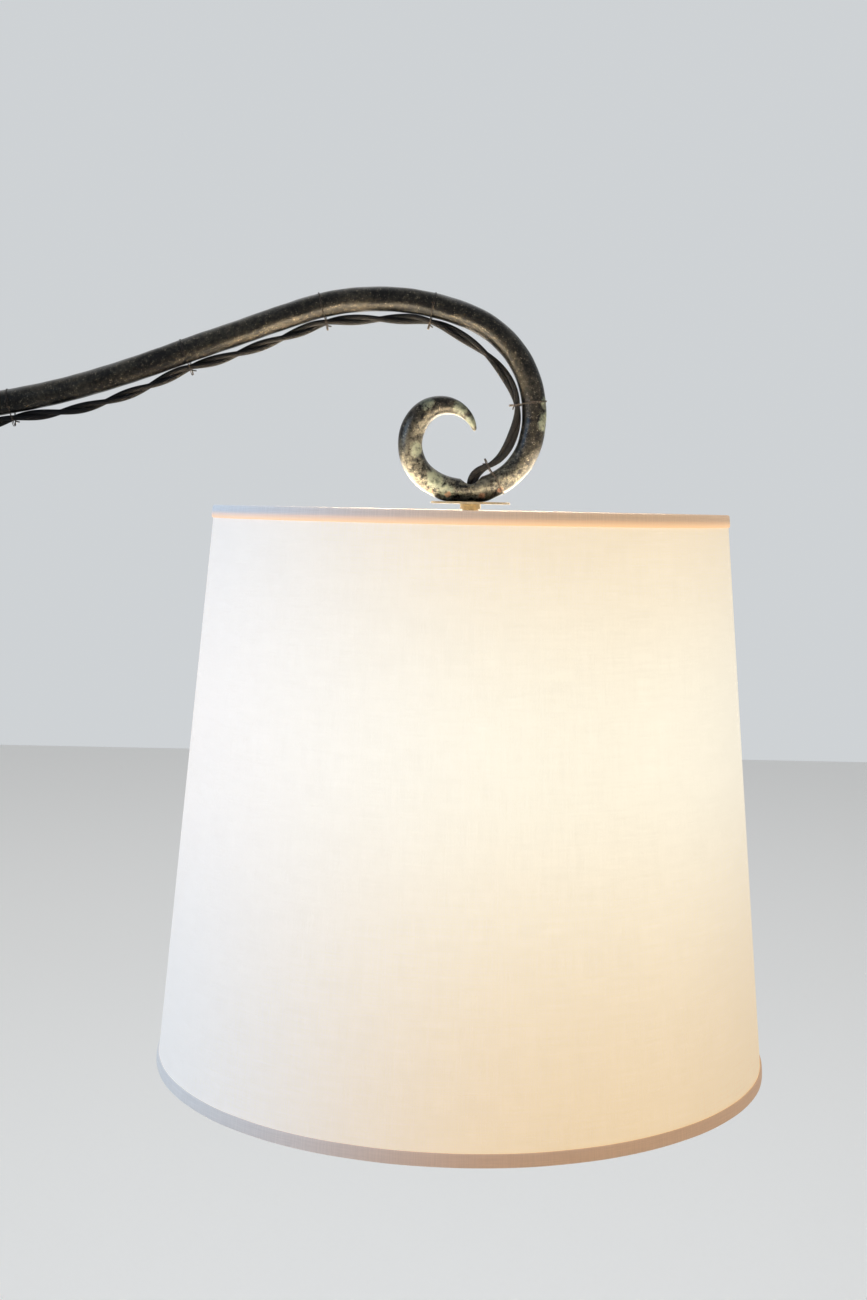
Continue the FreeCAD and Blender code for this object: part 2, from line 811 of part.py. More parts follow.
def make_upright():
    tenon = sizes.foot_tenon_diameter / 2
    shaft = sizes.upright_diameter / 2
    spigot = sizes.spigot_diameter / 2
    stud = sizes.stud_diameter / 2
    tenon_end = sizes.base_hub_bottom - sizes.foot_washer_thickness - sizes.foot_nut_height
    stud_top = spigot_top + sizes.top_washer_thickness + sizes.stud_length
    keep("upright", turned("upright", (
        (0, tenon_end),
        (tenon, tenon_end),
        (tenon, sizes.base_height),
        (shaft, sizes.base_height),
        (shaft, shoulder_z),
        (spigot, shoulder_z),
        (spigot, spigot_top),
        (stud, spigot_top),
        (stud, stud_top),
        (0, stud_top),
    )))

    collar_middle = shoulder_z - sizes.rest_collar_height / 2
    collar_outer = sizes.rest_collar_diameter / 2
    collar_ring = ring("rest_collar_ring", shaft + sizes.glue_line, collar_outer,
                       sizes.rest_collar_height, z=shoulder_z - sizes.rest_collar_height)
    grub = sizes.grub_screw_diameter / 2
    grub_hole = cylinder("grub_hole", grub + sizes.running_fit, collar_outer,
                         x=-shaft, z=collar_middle, rotation=AGAINST_X)
    keep("rest_collar", cut("rest_collar", collar_ring, grub_hole))
    keep("grub_screw", cylinder("grub_screw", grub, collar_outer - shaft - sizes.glue_line * 2,
                                x=-(shaft + sizes.glue_line), z=collar_middle, rotation=AGAINST_X))
    keep("swivel_washer", ring("swivel_washer", hub_bore, sizes.hub_diameter / 2,
                               sizes.swivel_washer_thickness, z=shoulder_z))
    keep("top_washer", ring("top_washer", stud + sizes.loose_fit, sizes.hub_diameter / 2,
                            sizes.top_washer_thickness, z=spigot_top))

    neck_top = sizes.finial_flange_height + sizes.finial_neck_height
    ball_rise = (sizes.finial_ball_radius * sizes.finial_ball_radius
                 - sizes.finial_neck_radius * sizes.finial_neck_radius)
    ball_centre = neck_top + Size(math.sqrt(ball_rise.number), f"sqrt({ball_rise.formula})")
    bore_depth = sizes.stud_length + sizes.loose_fit
    stud_bore = stud + sizes.running_fit
    keep("finial", turned("finial", (
        (stud_bore, 0),
        (sizes.finial_flange_radius, 0),
        (sizes.finial_flange_radius, sizes.finial_flange_height / 2),
        (sizes.finial_neck_radius, sizes.finial_flange_height),
        (sizes.finial_neck_radius, neck_top, sizes.finial_ball_radius),
        (sizes.finial_ball_radius, ball_centre, sizes.finial_ball_radius),
        (0, ball_centre + sizes.finial_ball_radius),
        (0, bore_depth),
        (stud_bore, bore_depth),
    ), z=spigot_top + sizes.top_washer_thickness))


def make_swivel_hub():
    sleeve = sizes.hub_diameter / 2
    bead = sleeve + sizes.hub_bead
    half = sizes.hub_height / 2
    bead_inside = half - sizes.hub_bead_height
    blank = turned("hub_blank", (
        (hub_bore, -half),
        (bead, -half),
        (bead, -bead_inside - sizes.hub_bead),
        (sleeve, -bead_inside),
        (sleeve, bead_inside),
        (bead, bead_inside + sizes.hub_bead),
        (bead, half),
        (hub_bore, half),
    ), z=sizes.arm_root_height)
    bar_hole = cylinder("bar_hole", bar_radius + sizes.glue_line, sizes.hub_diameter,
                        x=bar_seat_x, z=sizes.arm_root_height, rotation=ALONG_X)
    screw_hole = cylinder("screw_hole", sizes.thumbscrew_diameter / 2 + sizes.running_fit, sizes.hub_diameter,
                          z=sizes.arm_root_height, rotation=AGAINST_X)
    keep("arm_hub", cut("arm_hub", blank, bar_hole, screw_hole))

    pad_face = hub_bore
    keep("brake_pad", cylinder("brake_pad", sizes.brake_pad_diameter / 2, sizes.brake_pad_length,
                               x=-pad_face, z=sizes.arm_root_height, rotation=AGAINST_X))
    shank = sizes.thumbscrew_diameter / 2
    collar_top = sizes.thumbscrew_shank + sizes.thumbscrew_collar_height
    head_top = collar_top + sizes.thumbscrew_head_height
    screw = turned("thumbscrew_blank", (
        (0, 0),
        (shank, 0),
        (shank, sizes.thumbscrew_shank),
        (shank * 1.7, sizes.thumbscrew_shank),
        (shank * 1.7, collar_top),
        (sizes.thumbscrew_head_radius, collar_top),
        (sizes.thumbscrew_head_radius, head_top),
        (0, head_top),
    ), x=-(pad_face + sizes.brake_pad_length), z=sizes.arm_root_height, rotation=AGAINST_X)
    groove_sketch = new_sketch(screw, "grip_groove_circle", "XY_Plane", collar_top)
    round_hole(groove_sketch, sizes.thumbscrew_head_radius, 0, sizes.thumbscrew_head_radius / 6)
    groove = screw.newObject("PartDesign::Pocket", "grip_groove")
    groove.Profile = groove_sketch
    groove.Reversed = True
    bind(groove, "Length", sizes.thumbscrew_head_height)
    doc.recompute()
    grip = screw.newObject("PartDesign::PolarPattern", "grip_grooves")
    grip.Originals = [groove]
    grip.Axis = (origin_plane(screw, "Z_Axis"), [""])
    grip.Angle = 360
    grip.Occurrences = int(sizes.grip_count.number)
    grip.setExpression("Occurrences", sizes.grip_count.formula)
    screw.Tip = grip
    keep("thumbscrew", screw)


# ---------------------------------------------------------------- the arm's bar


def taper_radius(distance_from_tip):
    """The bar's radius near its tip: full at the taper's start, round-backed towards the point."""
    full = float(bar_radius)
    tip = float(sizes.tip_diameter) / 2
    share = min(distance_from_tip / float(sizes.taper_length), 1)
    return tip + (full - tip) * (1 - (1 - share) ** 1.5)


def make_arm_bar():
    taper_start = arm_line.length - float(sizes.taper_length)
    line = Part.Wire(arm_line.edges(taper_start))
    body = tube(line, float(bar_radius), "arm_bar")
    sections = []
    steps = 11
    for step in range(steps + 1):
        distance = float(sizes.taper_length) * (1 - step / steps)
        point, heading = arm_line.at(arm_line.length - distance)
        sections.append(Part.Wire([Part.makeCircle(taper_radius(distance), point, heading)]))
    point_end = Part.makeLoft(sections, True, False)
    bar = body.fuse(point_end).removeSplitter()

    # filed flat under the scroll, and drilled for the nipple and the cord
    file_box = Part.makeBox(60, 60, 30, Vector(float(scroll_low_x) - 30, -30, float(seat_z) - 30))
    nipple_hole = Part.makeCylinder(
        float(nipple_radius + sizes.glue_line), float(sizes.nipple_grip) + 30,
        Vector(float(reach), 0, float(seat_z) - 30),
    )
    cord_hole = Part.makeCylinder(
        float(cord_radius + sizes.cord_clearance), float(sizes.bar_diameter) * 1.5,
        Vector(float(reach), 0, float(seat_z)),
    )
    mouth = float(bar_radius) / 2
    countersink = Part.makeCone(
        float(cord_radius + sizes.cord_clearance), float(cord_radius + sizes.cord_clearance) + mouth * 2, mouth * 2,
        Vector(float(reach), 0, float(scroll_low_z + bar_radius) - mouth),
    )
    drilled = bar.cut(file_box).cut(nipple_hole).cut(cord_hole).cut(countersink)
    keep("arm_bar", shaped("arm_bar", drilled))


# ---------------------------------------------------------------- what hangs from the scroll


def make_fittings():
    nipple_hole = nipple_radius + sizes.glue_line
    turning_hole = nipple_radius + sizes.running_fit
    cap_bottom_of_neck = sizes.cap_neck_height + 1
    nipple_bottom = cap_top - sizes.cap_neck_height
    nipple_top = seat_z + sizes.nipple_grip
    keep("nipple", ring("nipple", sizes.nipple_bore / 2, nipple_radius, nipple_top - nipple_bottom,
                        x=reach, z=nipple_bottom))
    keep("shade_disc", ring("shade_disc", nipple_hole, sizes.disc_diameter / 2, sizes.disc_thickness,
                            x=reach, z=seat_z - sizes.disc_thickness))
    keep("nipple_nut", ring("nipple_nut", nipple_hole, sizes.nipple_nut_diameter / 2, sizes.nipple_nut_height,
                            x=reach, z=seat_z - sizes.disc_thickness - sizes.nipple_nut_height))
    keep("fitter_nut", ring("fitter_nut", nipple_hole, sizes.fitter_nut_diameter / 2, sizes.fitter_nut_height,
                            x=reach, z=spider_top))
    keep("fitter_washer", ring("fitter_washer", turning_hole, sizes.fitter_washer_diameter / 2,
                               sizes.fitter_washer_thickness, x=reach, z=cap_top))

    shell_radius = sizes.socket_diameter / 2
    lip_inner = shell_radius + sizes.loose_fit
    lip_outer = lip_inner + sizes.cap_wall
    neck_inner = sizes.cap_neck_radius - sizes.cap_wall / 2
    dome_bottom = sizes.cap_neck_height + sizes.cap_dome_height
    keep("socket_cap", turned("socket_cap", (
        (nipple_hole, 0),
        (nipple_hole, -cap_bottom_of_neck),
        (neck_inner, -cap_bottom_of_neck),
        (lip_inner, -dome_bottom - sizes.cap_wall / 2),
        (lip_inner, -dome_bottom - sizes.cap_lip_height),
        (lip_outer, -dome_bottom - sizes.cap_lip_height),
        (lip_outer, -dome_bottom),
        (sizes.cap_neck_radius, -sizes.cap_neck_height),
        (sizes.cap_neck_radius, 0),
    ), x=reach, z=cap_top))

    shell_top = shell_bottom + sizes.shell_length - sizes.cap_wall
    shell_inner = shell_radius - sizes.socket_wall
    shell_blank = ring("socket_shell_blank", shell_inner, shell_radius, shell_top - shell_bottom,
                       x=reach, z=shell_bottom)
    liner_outer = shell_inner - sizes.glue_line * 2
    liner_inner = liner_outer - sizes.liner_wall
    liner_blank = ring("socket_liner_blank", liner_inner, liner_outer, shell_top - shell_bottom - sizes.socket_wall * 2,
                       x=reach, z=shell_bottom + sizes.socket_wall)
    switch_z = cap_top - sizes.switch_drop
    switch_holes = [
        cylinder(f"switch_hole_{index}", sizes.switch_hole_radius, sizes.socket_diameter,
                 x=reach, z=switch_z, rotation=AGAINST_Y)
        for index in range(2)
    ]
    keep("socket_shell", cut("socket_shell", shell_blank, switch_holes[0]))
    keep("socket_liner", cut("socket_liner", liner_blank, switch_holes[1]))

    # the block carries the screw shell, the contact, the two terminals and the switch
    block = cylinder("block_blank", sizes.block_radius, sizes.block_height, x=reach, z=block_bottom)
    stem_radius = sizes.switch_stem_diameter / 2
    stem_inner = sizes.block_radius - sizes.switch_grip
    tools = [cylinder("stem_hole", stem_radius + sizes.running_fit, sizes.socket_diameter,
                      x=reach, y=-stem_inner, z=switch_z, rotation=AGAINST_Y)]
    terminals = []
    terminal_depth = 5
    shank = sizes.terminal_shank / 2
    for index, (side, rotation) in enumerate(((1, ALONG_X), (-1, AGAINST_X))):
        tools.append(box(f"block_flat_{index}", sizes.block_radius, sizes.block_radius * 4, sizes.block_height * 2,
                         x=reach + side * sizes.block_flat - (0 if side > 0 else 1) * sizes.block_radius,
                         y=-sizes.block_radius * 2, z=block_bottom - sizes.block_height / 2))
        tools.append(cylinder(f"terminal_hole_{index}", shank + sizes.glue_line, sizes.socket_diameter,
                              x=reach + side * (sizes.block_flat - terminal_depth), z=switch_z, rotation=rotation))
        terminals.append(turned(f"terminal_{index}", (
            (0, 0),
            (shank, 0),
            (shank, terminal_depth),
            (sizes.terminal_head / 2, terminal_depth),
            (sizes.terminal_head / 2, terminal_depth + sizes.terminal_head_height),
            (0, terminal_depth + sizes.terminal_head_height),
        ), x=reach + side * (sizes.block_flat - terminal_depth), z=switch_z, rotation=rotation))
    keep("socket_block", cut("socket_block", block, *tools))
    keep("terminal_screws", group("terminal_screws", terminals))

    keep("screw_shell", ring("screw_shell", sizes.screw_shell_radius - sizes.screw_shell_wall,
                             sizes.screw_shell_radius, block_bottom - shell_bottom - sizes.socket_wall,
                             x=reach, z=shell_bottom + sizes.socket_wall))
    keep("centre_contact", cylinder("centre_contact", sizes.contact_radius, sizes.contact_height,
                                    x=reach, z=block_bottom - sizes.contact_height))

    keep("switch_stem", cylinder("switch_stem", stem_radius,
                                 shell_radius - stem_inner + sizes.switch_knob_gap + sizes.switch_knob_length / 2,
                                 x=reach, y=-stem_inner, z=switch_z, rotation=AGAINST_Y))
    knob_bore = stem_radius + sizes.glue_line
    knob_depth = sizes.switch_knob_length / 2
    keep("switch_knob", turned("switch_knob", (
        (knob_bore, 0),
        (sizes.switch_knob_radius * 0.7, 0),
        (sizes.switch_knob_radius, sizes.switch_knob_length / 3),
        (sizes.switch_knob_radius, sizes.switch_knob_length),
        (0, sizes.switch_knob_length),
        (0, knob_depth),
        (knob_bore, knob_depth),
    ), x=reach, y=-(shell_radius + sizes.switch_knob_gap), z=switch_z, rotation=AGAINST_Y))


def make_bulb():
    contact_z = block_bottom - sizes.contact_height
    pin_height = 2
    taper_height = 4
    keep("bulb_pin", cylinder("bulb_pin", sizes.contact_radius + 1, pin_height,
                              x=reach, z=contact_z - pin_height))
    cap_inner = sizes.bulb_cap_radius - sizes.screw_shell_wall
    pin_face = -Size(pin_height)
    keep("bulb_cap", turned("bulb_cap", (
        (0, pin_face),
        (sizes.contact_radius + 1, pin_face),
        (sizes.bulb_cap_radius, pin_face - taper_height),
        (sizes.bulb_cap_radius, -sizes.bulb_cap_height),
        (cap_inner, -sizes.bulb_cap_height),
        (cap_inner, pin_face - taper_height - sizes.screw_shell_wall),
        (0, pin_face - taper_height - sizes.screw_shell_wall),
    ), x=reach, z=contact_z))

    # the glass: a neck that widens until it meets the round end
    meet = 0.88
    meet_radius = sizes.bulb_radius * meet
    meet_rise = sizes.bulb_radius * math.sqrt(1 - meet * meet)
    inside = sizes.bulb_radius - sizes.bulb_wall
    inner_meet_radius = inside * meet
    inner_meet_rise = inside * math.sqrt(1 - meet * meet)
    neck_top = -sizes.bulb_cap_height
    neck_bottom = neck_top - sizes.bulb_cap_height / 3
    inner_neck = sizes.bulb_neck_radius - sizes.bulb_wall
    keep("bulb_glass", turned("bulb_glass", (
        (inner_neck, neck_top),
        (sizes.bulb_neck_radius, neck_top),
        (sizes.bulb_neck_radius, neck_bottom),
        (meet_radius, meet_rise - sizes.bulb_drop, -sizes.bulb_radius),
        (0, -sizes.bulb_drop - sizes.bulb_radius),
        (0, -sizes.bulb_drop - inside, inside),
        (inner_meet_radius, inner_meet_rise - sizes.bulb_drop),
        (inner_neck, neck_bottom),
    ), x=reach, z=contact_z))

    stem_top = neck_top - 1
    stem_bottom = stem_top - sizes.bulb_stem_height
    keep("bulb_stem", turned("bulb_stem", (
        (0, stem_top),
        (inner_neck - sizes.glue_line, stem_top),
        (inner_neck - sizes.glue_line, stem_top - 2),
        (sizes.bulb_stem_radius, stem_top - sizes.bulb_stem_height / 3),
        (sizes.bulb_stem_radius, stem_bottom),
        (0, stem_bottom),
    ), x=reach, z=contact_z))

    # the filament: a half ring round the stem's end
    centre = Vector(float(reach), 0, float(contact_z + stem_bottom))
    arc = Part.makeCircle(float(sizes.filament_radius), centre, Vector(0, 1, 0), 0, 180)
    if arc.valueAt((arc.FirstParameter + arc.LastParameter) / 2).z > centre.z:
        arc.rotate(centre, Vector(0, 1, 0), 180)
    ends = [arc.valueAt(arc.FirstParameter), arc.valueAt(arc.LastParameter)]
    wire_radius = float(sizes.filament_wire) / 2
    filament = tube(Part.Wire([arc]), wire_radius, "bulb_filament")
    for end in ends:
        inward = (centre - end).normalize()
        length = float(sizes.filament_radius - sizes.bulb_stem_radius)
        support = Part.makeCylinder(wire_radius, length, end, inward)
        filament = filament.fuse(support)
    keep("bulb_filament", shaped("bulb_filament", filament.removeSplitter().cut(pieces_shape("bulb_stem"))))


def pieces_shape(node):
    """A finished piece's shape."""
    doc.recompute()
    return pieces[node].Shape


def make_leads():
    """The two wires from the cord's end to the terminals, one each side."""
    radius = float(sizes.lead_diameter) / 2
    terminal_top = float(cap_top - sizes.switch_drop + sizes.terminal_head / 2)
    drop = ARM_CORD[-1][2] - terminal_top
    start = radius * 1.6
    out = float(sizes.block_flat) + radius * 1.8
    # each corner as its share of the way out and of the way down
    corners = ((0, 0), (0, 0.2), (0.44, 0.47), (0.87, 0.64), (1, 0.83), (1, 1))
    solids = []
    for side in (1, -1):
        points = [
            Vector(side * (start + (out - start) * across), 0, terminal_top + drop * (1 - down))
            for across, down in corners
        ]
        wire = rounded_wire(points, "lead_wires")
        wire.translate(Vector(float(reach), 0, 0))
        solids.append(tube(wire, radius, "lead_wires"))
    keep("lead_wires", shaped("lead_wires", Part.makeCompound(solids)))


# ---------------------------------------------------------------- the shade


def make_shade():
    # heights below are measured down from the rim, where the top trim's fold lies
    flare = (sizes.shade_bottom_radius - sizes.shade_top_radius) / sizes.shade_height

    def cone(drop):
        return sizes.shade_top_radius + flare * drop

    edge = sizes.trim_thickness + sizes.glue_line
    bottom_edge = sizes.shade_height - edge
    backing_out = sizes.linen_thickness + sizes.glue_line
    wall = backing_out + sizes.backing_thickness

    def shell(name, outside, inside):
        keep(name, turned(name, (
            (cone(edge) - inside, -edge),
            (cone(bottom_edge) - inside, -bottom_edge),
            (cone(bottom_edge) - outside, -bottom_edge),
            (cone(edge) - outside, -edge),
        ), x=reach, z=rim_z))

    shell("shade_linen", 0, sizes.linen_thickness)
    shell("shade_backing", backing_out, wall)

    wire = sizes.ring_wire / 2
    ring_drop = edge + sizes.glue_line * 2 + wire
    for node, drop in (("top_ring", ring_drop), ("bottom_ring", sizes.shade_height - ring_drop)):
        piece = doc.addObject("Part::Torus", node)
        bind(piece, "Radius1", ring_radius(cone, drop, wall, wire))
        bind(piece, "Radius2", wire)
        keep(node, place(piece, x=reach, z=rim_z - drop))

    def trim(node, fold_drop, way):
        """A tape folded over the shade's edge and its wire; way is 1 downwards, -1 upwards."""
        under_fold = fold_drop + way * sizes.trim_thickness
        leg_end = fold_drop + way * sizes.trim_width
        return_end = fold_drop + way * sizes.trim_return
        skin = sizes.glue_line
        inner = ring_radius(cone, fold_drop + way * ring_drop, wall, wire) - wire - sizes.glue_line * 2
        corners = [
            (cone(fold_drop) + skin + sizes.trim_thickness, -fold_drop),
            (cone(leg_end) + skin + sizes.trim_thickness, -leg_end),
            (cone(leg_end) + skin, -leg_end),
            (cone(under_fold) + skin, -under_fold),
            (inner, -under_fold),
            (inner, -return_end),
            (inner - sizes.trim_thickness, -return_end),
            (inner - sizes.trim_thickness, -fold_drop),
        ]
        keep(node, turned(node, corners, x=reach, z=rim_z))

    trim("top_trim", Size(0), 1)
    trim("bottom_trim", sizes.shade_height, -1)

    turning_hole = nipple_radius + sizes.running_fit
    keep("spider_ring", ring("spider_ring", turning_hole, sizes.spider_radius, sizes.spider_thickness,
                             x=reach, z=spider_top - sizes.spider_thickness))
    # each spoke runs from the middle ring to under the top ring's wire
    top_radius = ring_radius(cone, ring_drop, wall, wire)
    inner_end = Vector(float(sizes.spider_radius) * 0.8, 0, float(spider_top - sizes.spider_thickness / 2))
    spoke_radius = float(sizes.spoke_wire) / 2
    outer_end = Vector(float(top_radius) + 0.4, 0, float(rim_z - ring_drop - wire) - spoke_radius)
    middle_ring = Part.makeCylinder(float(sizes.spider_radius), 100, Vector(0, 0, float(spider_top) - 50))
    spokes = []
    count = int(sizes.spoke_count.number)
    for index in range(count):
        spoke = Part.makeCylinder(spoke_radius, (outer_end - inner_end).Length, inner_end, outer_end - inner_end)
        spoke = spoke.cut(middle_ring)
        spoke.rotate(Vector(0, 0, 0), Vector(0, 0, 1), 90 + index * 360 / count)
        spoke.translate(Vector(float(reach), 0, 0))
        spokes.append(spoke)
    keep("spider_spokes", shaped("spider_spokes", Part.makeCompound(spokes)))


def ring_radius(cone, drop, wall, wire):
    """How far out a ring of wire lies, just inside the shade's wall."""
    return cone(drop) - wall - sizes.glue_line * 3 - wire


# ---------------------------------------------------------------- the cord

# Routes, chosen by hand. The cord is tied under the arm, crosses to the upright in a slack bow,
# runs down the upright's back, goes through the base and lies behind it.
def above_root(*points):
    """A route whose heights are measured from the bar's root."""
    return tuple((x, y, float(sizes.arm_root_height) + up) for x, y, up in points)


def behind_edge(*points):
    """A route whose y is measured out from the base's edge."""
    return tuple((x, float(sizes.base_radius) + out, z) for x, out, z in points)


ARM_CORD = above_root(
    (100.0, 0, -4.8), (116.5, 0, -0.2), (138.0, 0, 3.4), (160.8, 0, 8.2), (186.9, 0, 17.6),
    (205.0, 0, 25.6), (217.9, 0, 30.6), (238.0, 0, 37.7), (257.4, 0, 44.6), (276.0, 0, 51.6),
    (295.7, 0, 58), (317.0, 0, 60.9), (339.9, 0, 61.3), (354.5, 0, 59.1), (367.0, 0, 55.2),
    (382.0, 0, 46.7), (393.5, 0, 37), (401.3, 0, 25.8), (404.9, 0, 13.9), (405.1, 0, 2.2),
    (402.2, 0, -8.4), (397.0, 0, -16), (391.0, 0, -20.2), (384.9, 0, -23), (380.6, 0, -28.4),
    (380.05, 0, -36.8), (380.05, 0, -67.2),
)
SWIVEL_CORD = above_root(
    (0, 12.9, -182.8), (0, 12.9, -161.8), (3, 13.4, -134.8), (11, 13.0, -106.8), (24, 11.0, -78.8),
    (41, 7.6, -52.8), (60, 3.6, -29.8), (82.0, 0, -9.82), (100.0, 0, -4.8),
)
UPRIGHT_CORD = above_root((0, 12.9, -182.8)) + (
    (0, 12.9, 112), (0, 23.5, 84), (0, CORD_ENTRY, 60), (0, CORD_ENTRY, 27.3),
    (0, 40.7, 15.7), (0, 52.3, RELIEF_HEIGHT),
) + behind_edge((0, RELIEF_LENGTH, RELIEF_HEIGHT))
COIL_X = -60
COIL_OUT = 63
COIL_CENTRE = behind_edge((COIL_X, COIL_OUT, 0))[0][:2]
COIL_LIFT = 0.9
COIL_ENTRY = 111.4
COIL_TOP = 10.7
FLOOR_CORD = behind_edge(
    (0, RELIEF_LENGTH, RELIEF_HEIGHT), (0, 41, RELIEF_HEIGHT), (2, 59, 5.4), (2, 80, 4.0), (-10, 100, 4.0),
    (-31, COIL_ENTRY, 4.0), (-53.8, COIL_ENTRY, 4.0),
)
CORD_END = behind_edge(
    (-66.2, COIL_ENTRY, COIL_TOP), (-80, COIL_ENTRY, COIL_TOP), (-97, 107.5, 6.6), (-112.5, 99, 3.4),
    (-124, 85, 5.2), (-130, 68, 12), (-130, 51, 12),
)
PLUG_ENTRY = CORD_END[-1]
ARM_TIE_STATIONS = (101, 207, 291, 356, 443, 497)


def coil_point(angle, centre, turns, pitch, height):
    """A point of the coil: spiralling in on the lower layer, out on the upper one."""
    half = math.pi * turns
    away = abs(angle - half) / (2 * math.pi)
    radius = float(sizes.coil_mean_radius) + pitch * (away - turns / 4)
    climb = min(max((angle - half) / math.pi + 0.5, 0), 1)
    z = height + pitch * (1 - math.cos(math.pi * climb)) / 2
    start = math.pi / 2
    return Vector(centre[0] + radius * math.cos(start + angle), centre[1] + radius * math.sin(start + angle), z)


def coil_wire(pitch):
    """The coil's line: a biarc for each quarter turn, and a straight end one diameter long each side."""
    turns = 2 * int(sizes.coil_turns_per_layer.number)
    height = float(cord_radius) + COIL_LIFT
    nodes = []
    small = 0.02
    quarter = math.pi / 2
    for step in range(4 * turns + 1):
        angle = step * quarter
        point = coil_point(angle, COIL_CENTRE, turns, pitch, height)
        before = coil_point(angle - small, COIL_CENTRE, turns, pitch, height)
        after = coil_point(angle + small, COIL_CENTRE, turns, pitch, height)
        nodes.append((point, (after - before).normalize()))
    square = Vector(-1, 0, 0)
    nodes[0] = (nodes[0][0], square)
    nodes[-1] = (nodes[-1][0], square)
    lead = square * float(sizes.cord_diameter)
    edges = [Part.LineSegment(nodes[0][0] - lead, nodes[0][0]).toShape()]
    for (start, start_heading), (end, end_heading) in zip(nodes, nodes[1:]):
        edges.extend(biarc(start, start_heading, end, end_heading))
    edges.append(Part.LineSegment(nodes[-1][0], nodes[-1][0] + lead).toShape())
    return Part.Wire(edges)


def print_least_gap(wire, name):
    """Print the least gap between turns, measured on points along the wire."""
    points = wire.discretize(Distance=2.0)
    diameter = float(sizes.cord_diameter)
    apart = int(4 * diameter / 2.0)
    least = min(
        (first - second).Length
        for index, first in enumerate(points)
        for second in points[index + apart:]
    )
    print(f"{name}: least gap to itself {least - diameter:.2f}")


def make_cords():
    arm_wire = cord("arm_cord", ARM_CORD)
    cord("swivel_cord", SWIVEL_CORD)
    cord("upright_cord", UPRIGHT_CORD)
    cord("floor_cord", FLOOR_CORD)
    cord("cord_end", CORD_END)

    pitch = float(sizes.cord_diameter + sizes.coil_gap)
    wire = coil_wire(pitch)
    print_least_gap(wire, "cord_coil")
    keep("cord_coil", shaped("cord_coil", tube(wire, float(cord_radius), "cord_coil")))

    # the strap that holds the coil, across its turns on the side away from the plug
    half_span = sizes.coil_turns_per_layer * (sizes.cord_diameter + sizes.coil_gap) / 2 + cord_radius
    room = sizes.coil_gap / 2
    tall = sizes.cord_diameter * 2 + sizes.coil_gap
    strap = sizes.strap_thickness
    outer_length = half_span * 2 + (room + strap) * 2
    inner_length = half_span * 2 + room * 2
    turn = Rotation(Vector(0, 0, 1), STRAP_ANGLE)
    blocks = []
    lift = Size(COIL_LIFT)
    for name, length, width, height, bottom in (
        ("strap_outside", outer_length, sizes.strap_width, tall + (strap + room / 2) * 2, lift - strap - room / 2),
        ("strap_inside", inner_length, sizes.strap_width * 2, tall + room, lift - room / 2),
    ):
        middle = turn.multVec(Vector(float(sizes.coil_mean_radius - length / 2), -float(width) / 2, 0))
        blocks.append(box(name, length, width, height,
                          COIL_CENTRE[0] + middle.x, COIL_CENTRE[1] + middle.y, bottom, turn))
    keep("coil_tie", cut("coil_tie", *blocks))
    make_arm_ties(arm_wire)
    make_upright_ties()


STRAP_ANGLE = -35


def make_arm_ties(arm_wire):
    """Loops of fine wire that hold the cord to the bar, each square to the bar."""
    wire_radius = float(sizes.tie_wire) / 2
    play = wire_radius + float(sizes.glue_line)
    cord_points = arm_wire.discretize(Distance=0.2)
    loops = []
    for station in ARM_TIE_STATIONS:
        centre, heading = arm_line.at(station)
        reach_of_tie = float(sizes.bar_diameter + sizes.cord_diameter)
        near = [point for point in cord_points if (point - centre).Length < reach_of_tie]
        held = min(near, key=lambda point: abs((point - centre).dot(heading)))
        held = held - heading * (held - centre).dot(heading)
        make = belt(centre, float(bar_radius) + play, held, float(cord_radius) + play, wire_radius, "arm_ties")
        loops.append(make(Vector(0, 1, 0)))
    keep("arm_ties", shaped("arm_ties", Part.makeCompound(loops)))


def make_upright_ties():
    """Loops of the same wire round the upright."""
    wire_radius = float(sizes.tie_wire) / 2
    play = wire_radius + float(sizes.glue_line)
    count = int(sizes.upright_tie_count.number)
    top = float(sizes.arm_root_height - sizes.upright_tie_drop)
    spacing = (top - float(sizes.upright_tie_bottom)) / max(count - 1, 1)
    cord_out = UPRIGHT_CORD[0][1]
    loops = []
    for index in range(count):
        height = top - index * spacing
        make = belt(Vector(0, 0, height), float(sizes.upright_diameter) / 2 + play,
                    Vector(0, cord_out, height), float(cord_radius) + play, wire_radius, "upright_ties")
        loops.append(make(Vector(1, 0, 0)))
    keep("upright_ties", shaped("upright_ties", Part.makeCompound(loops)))


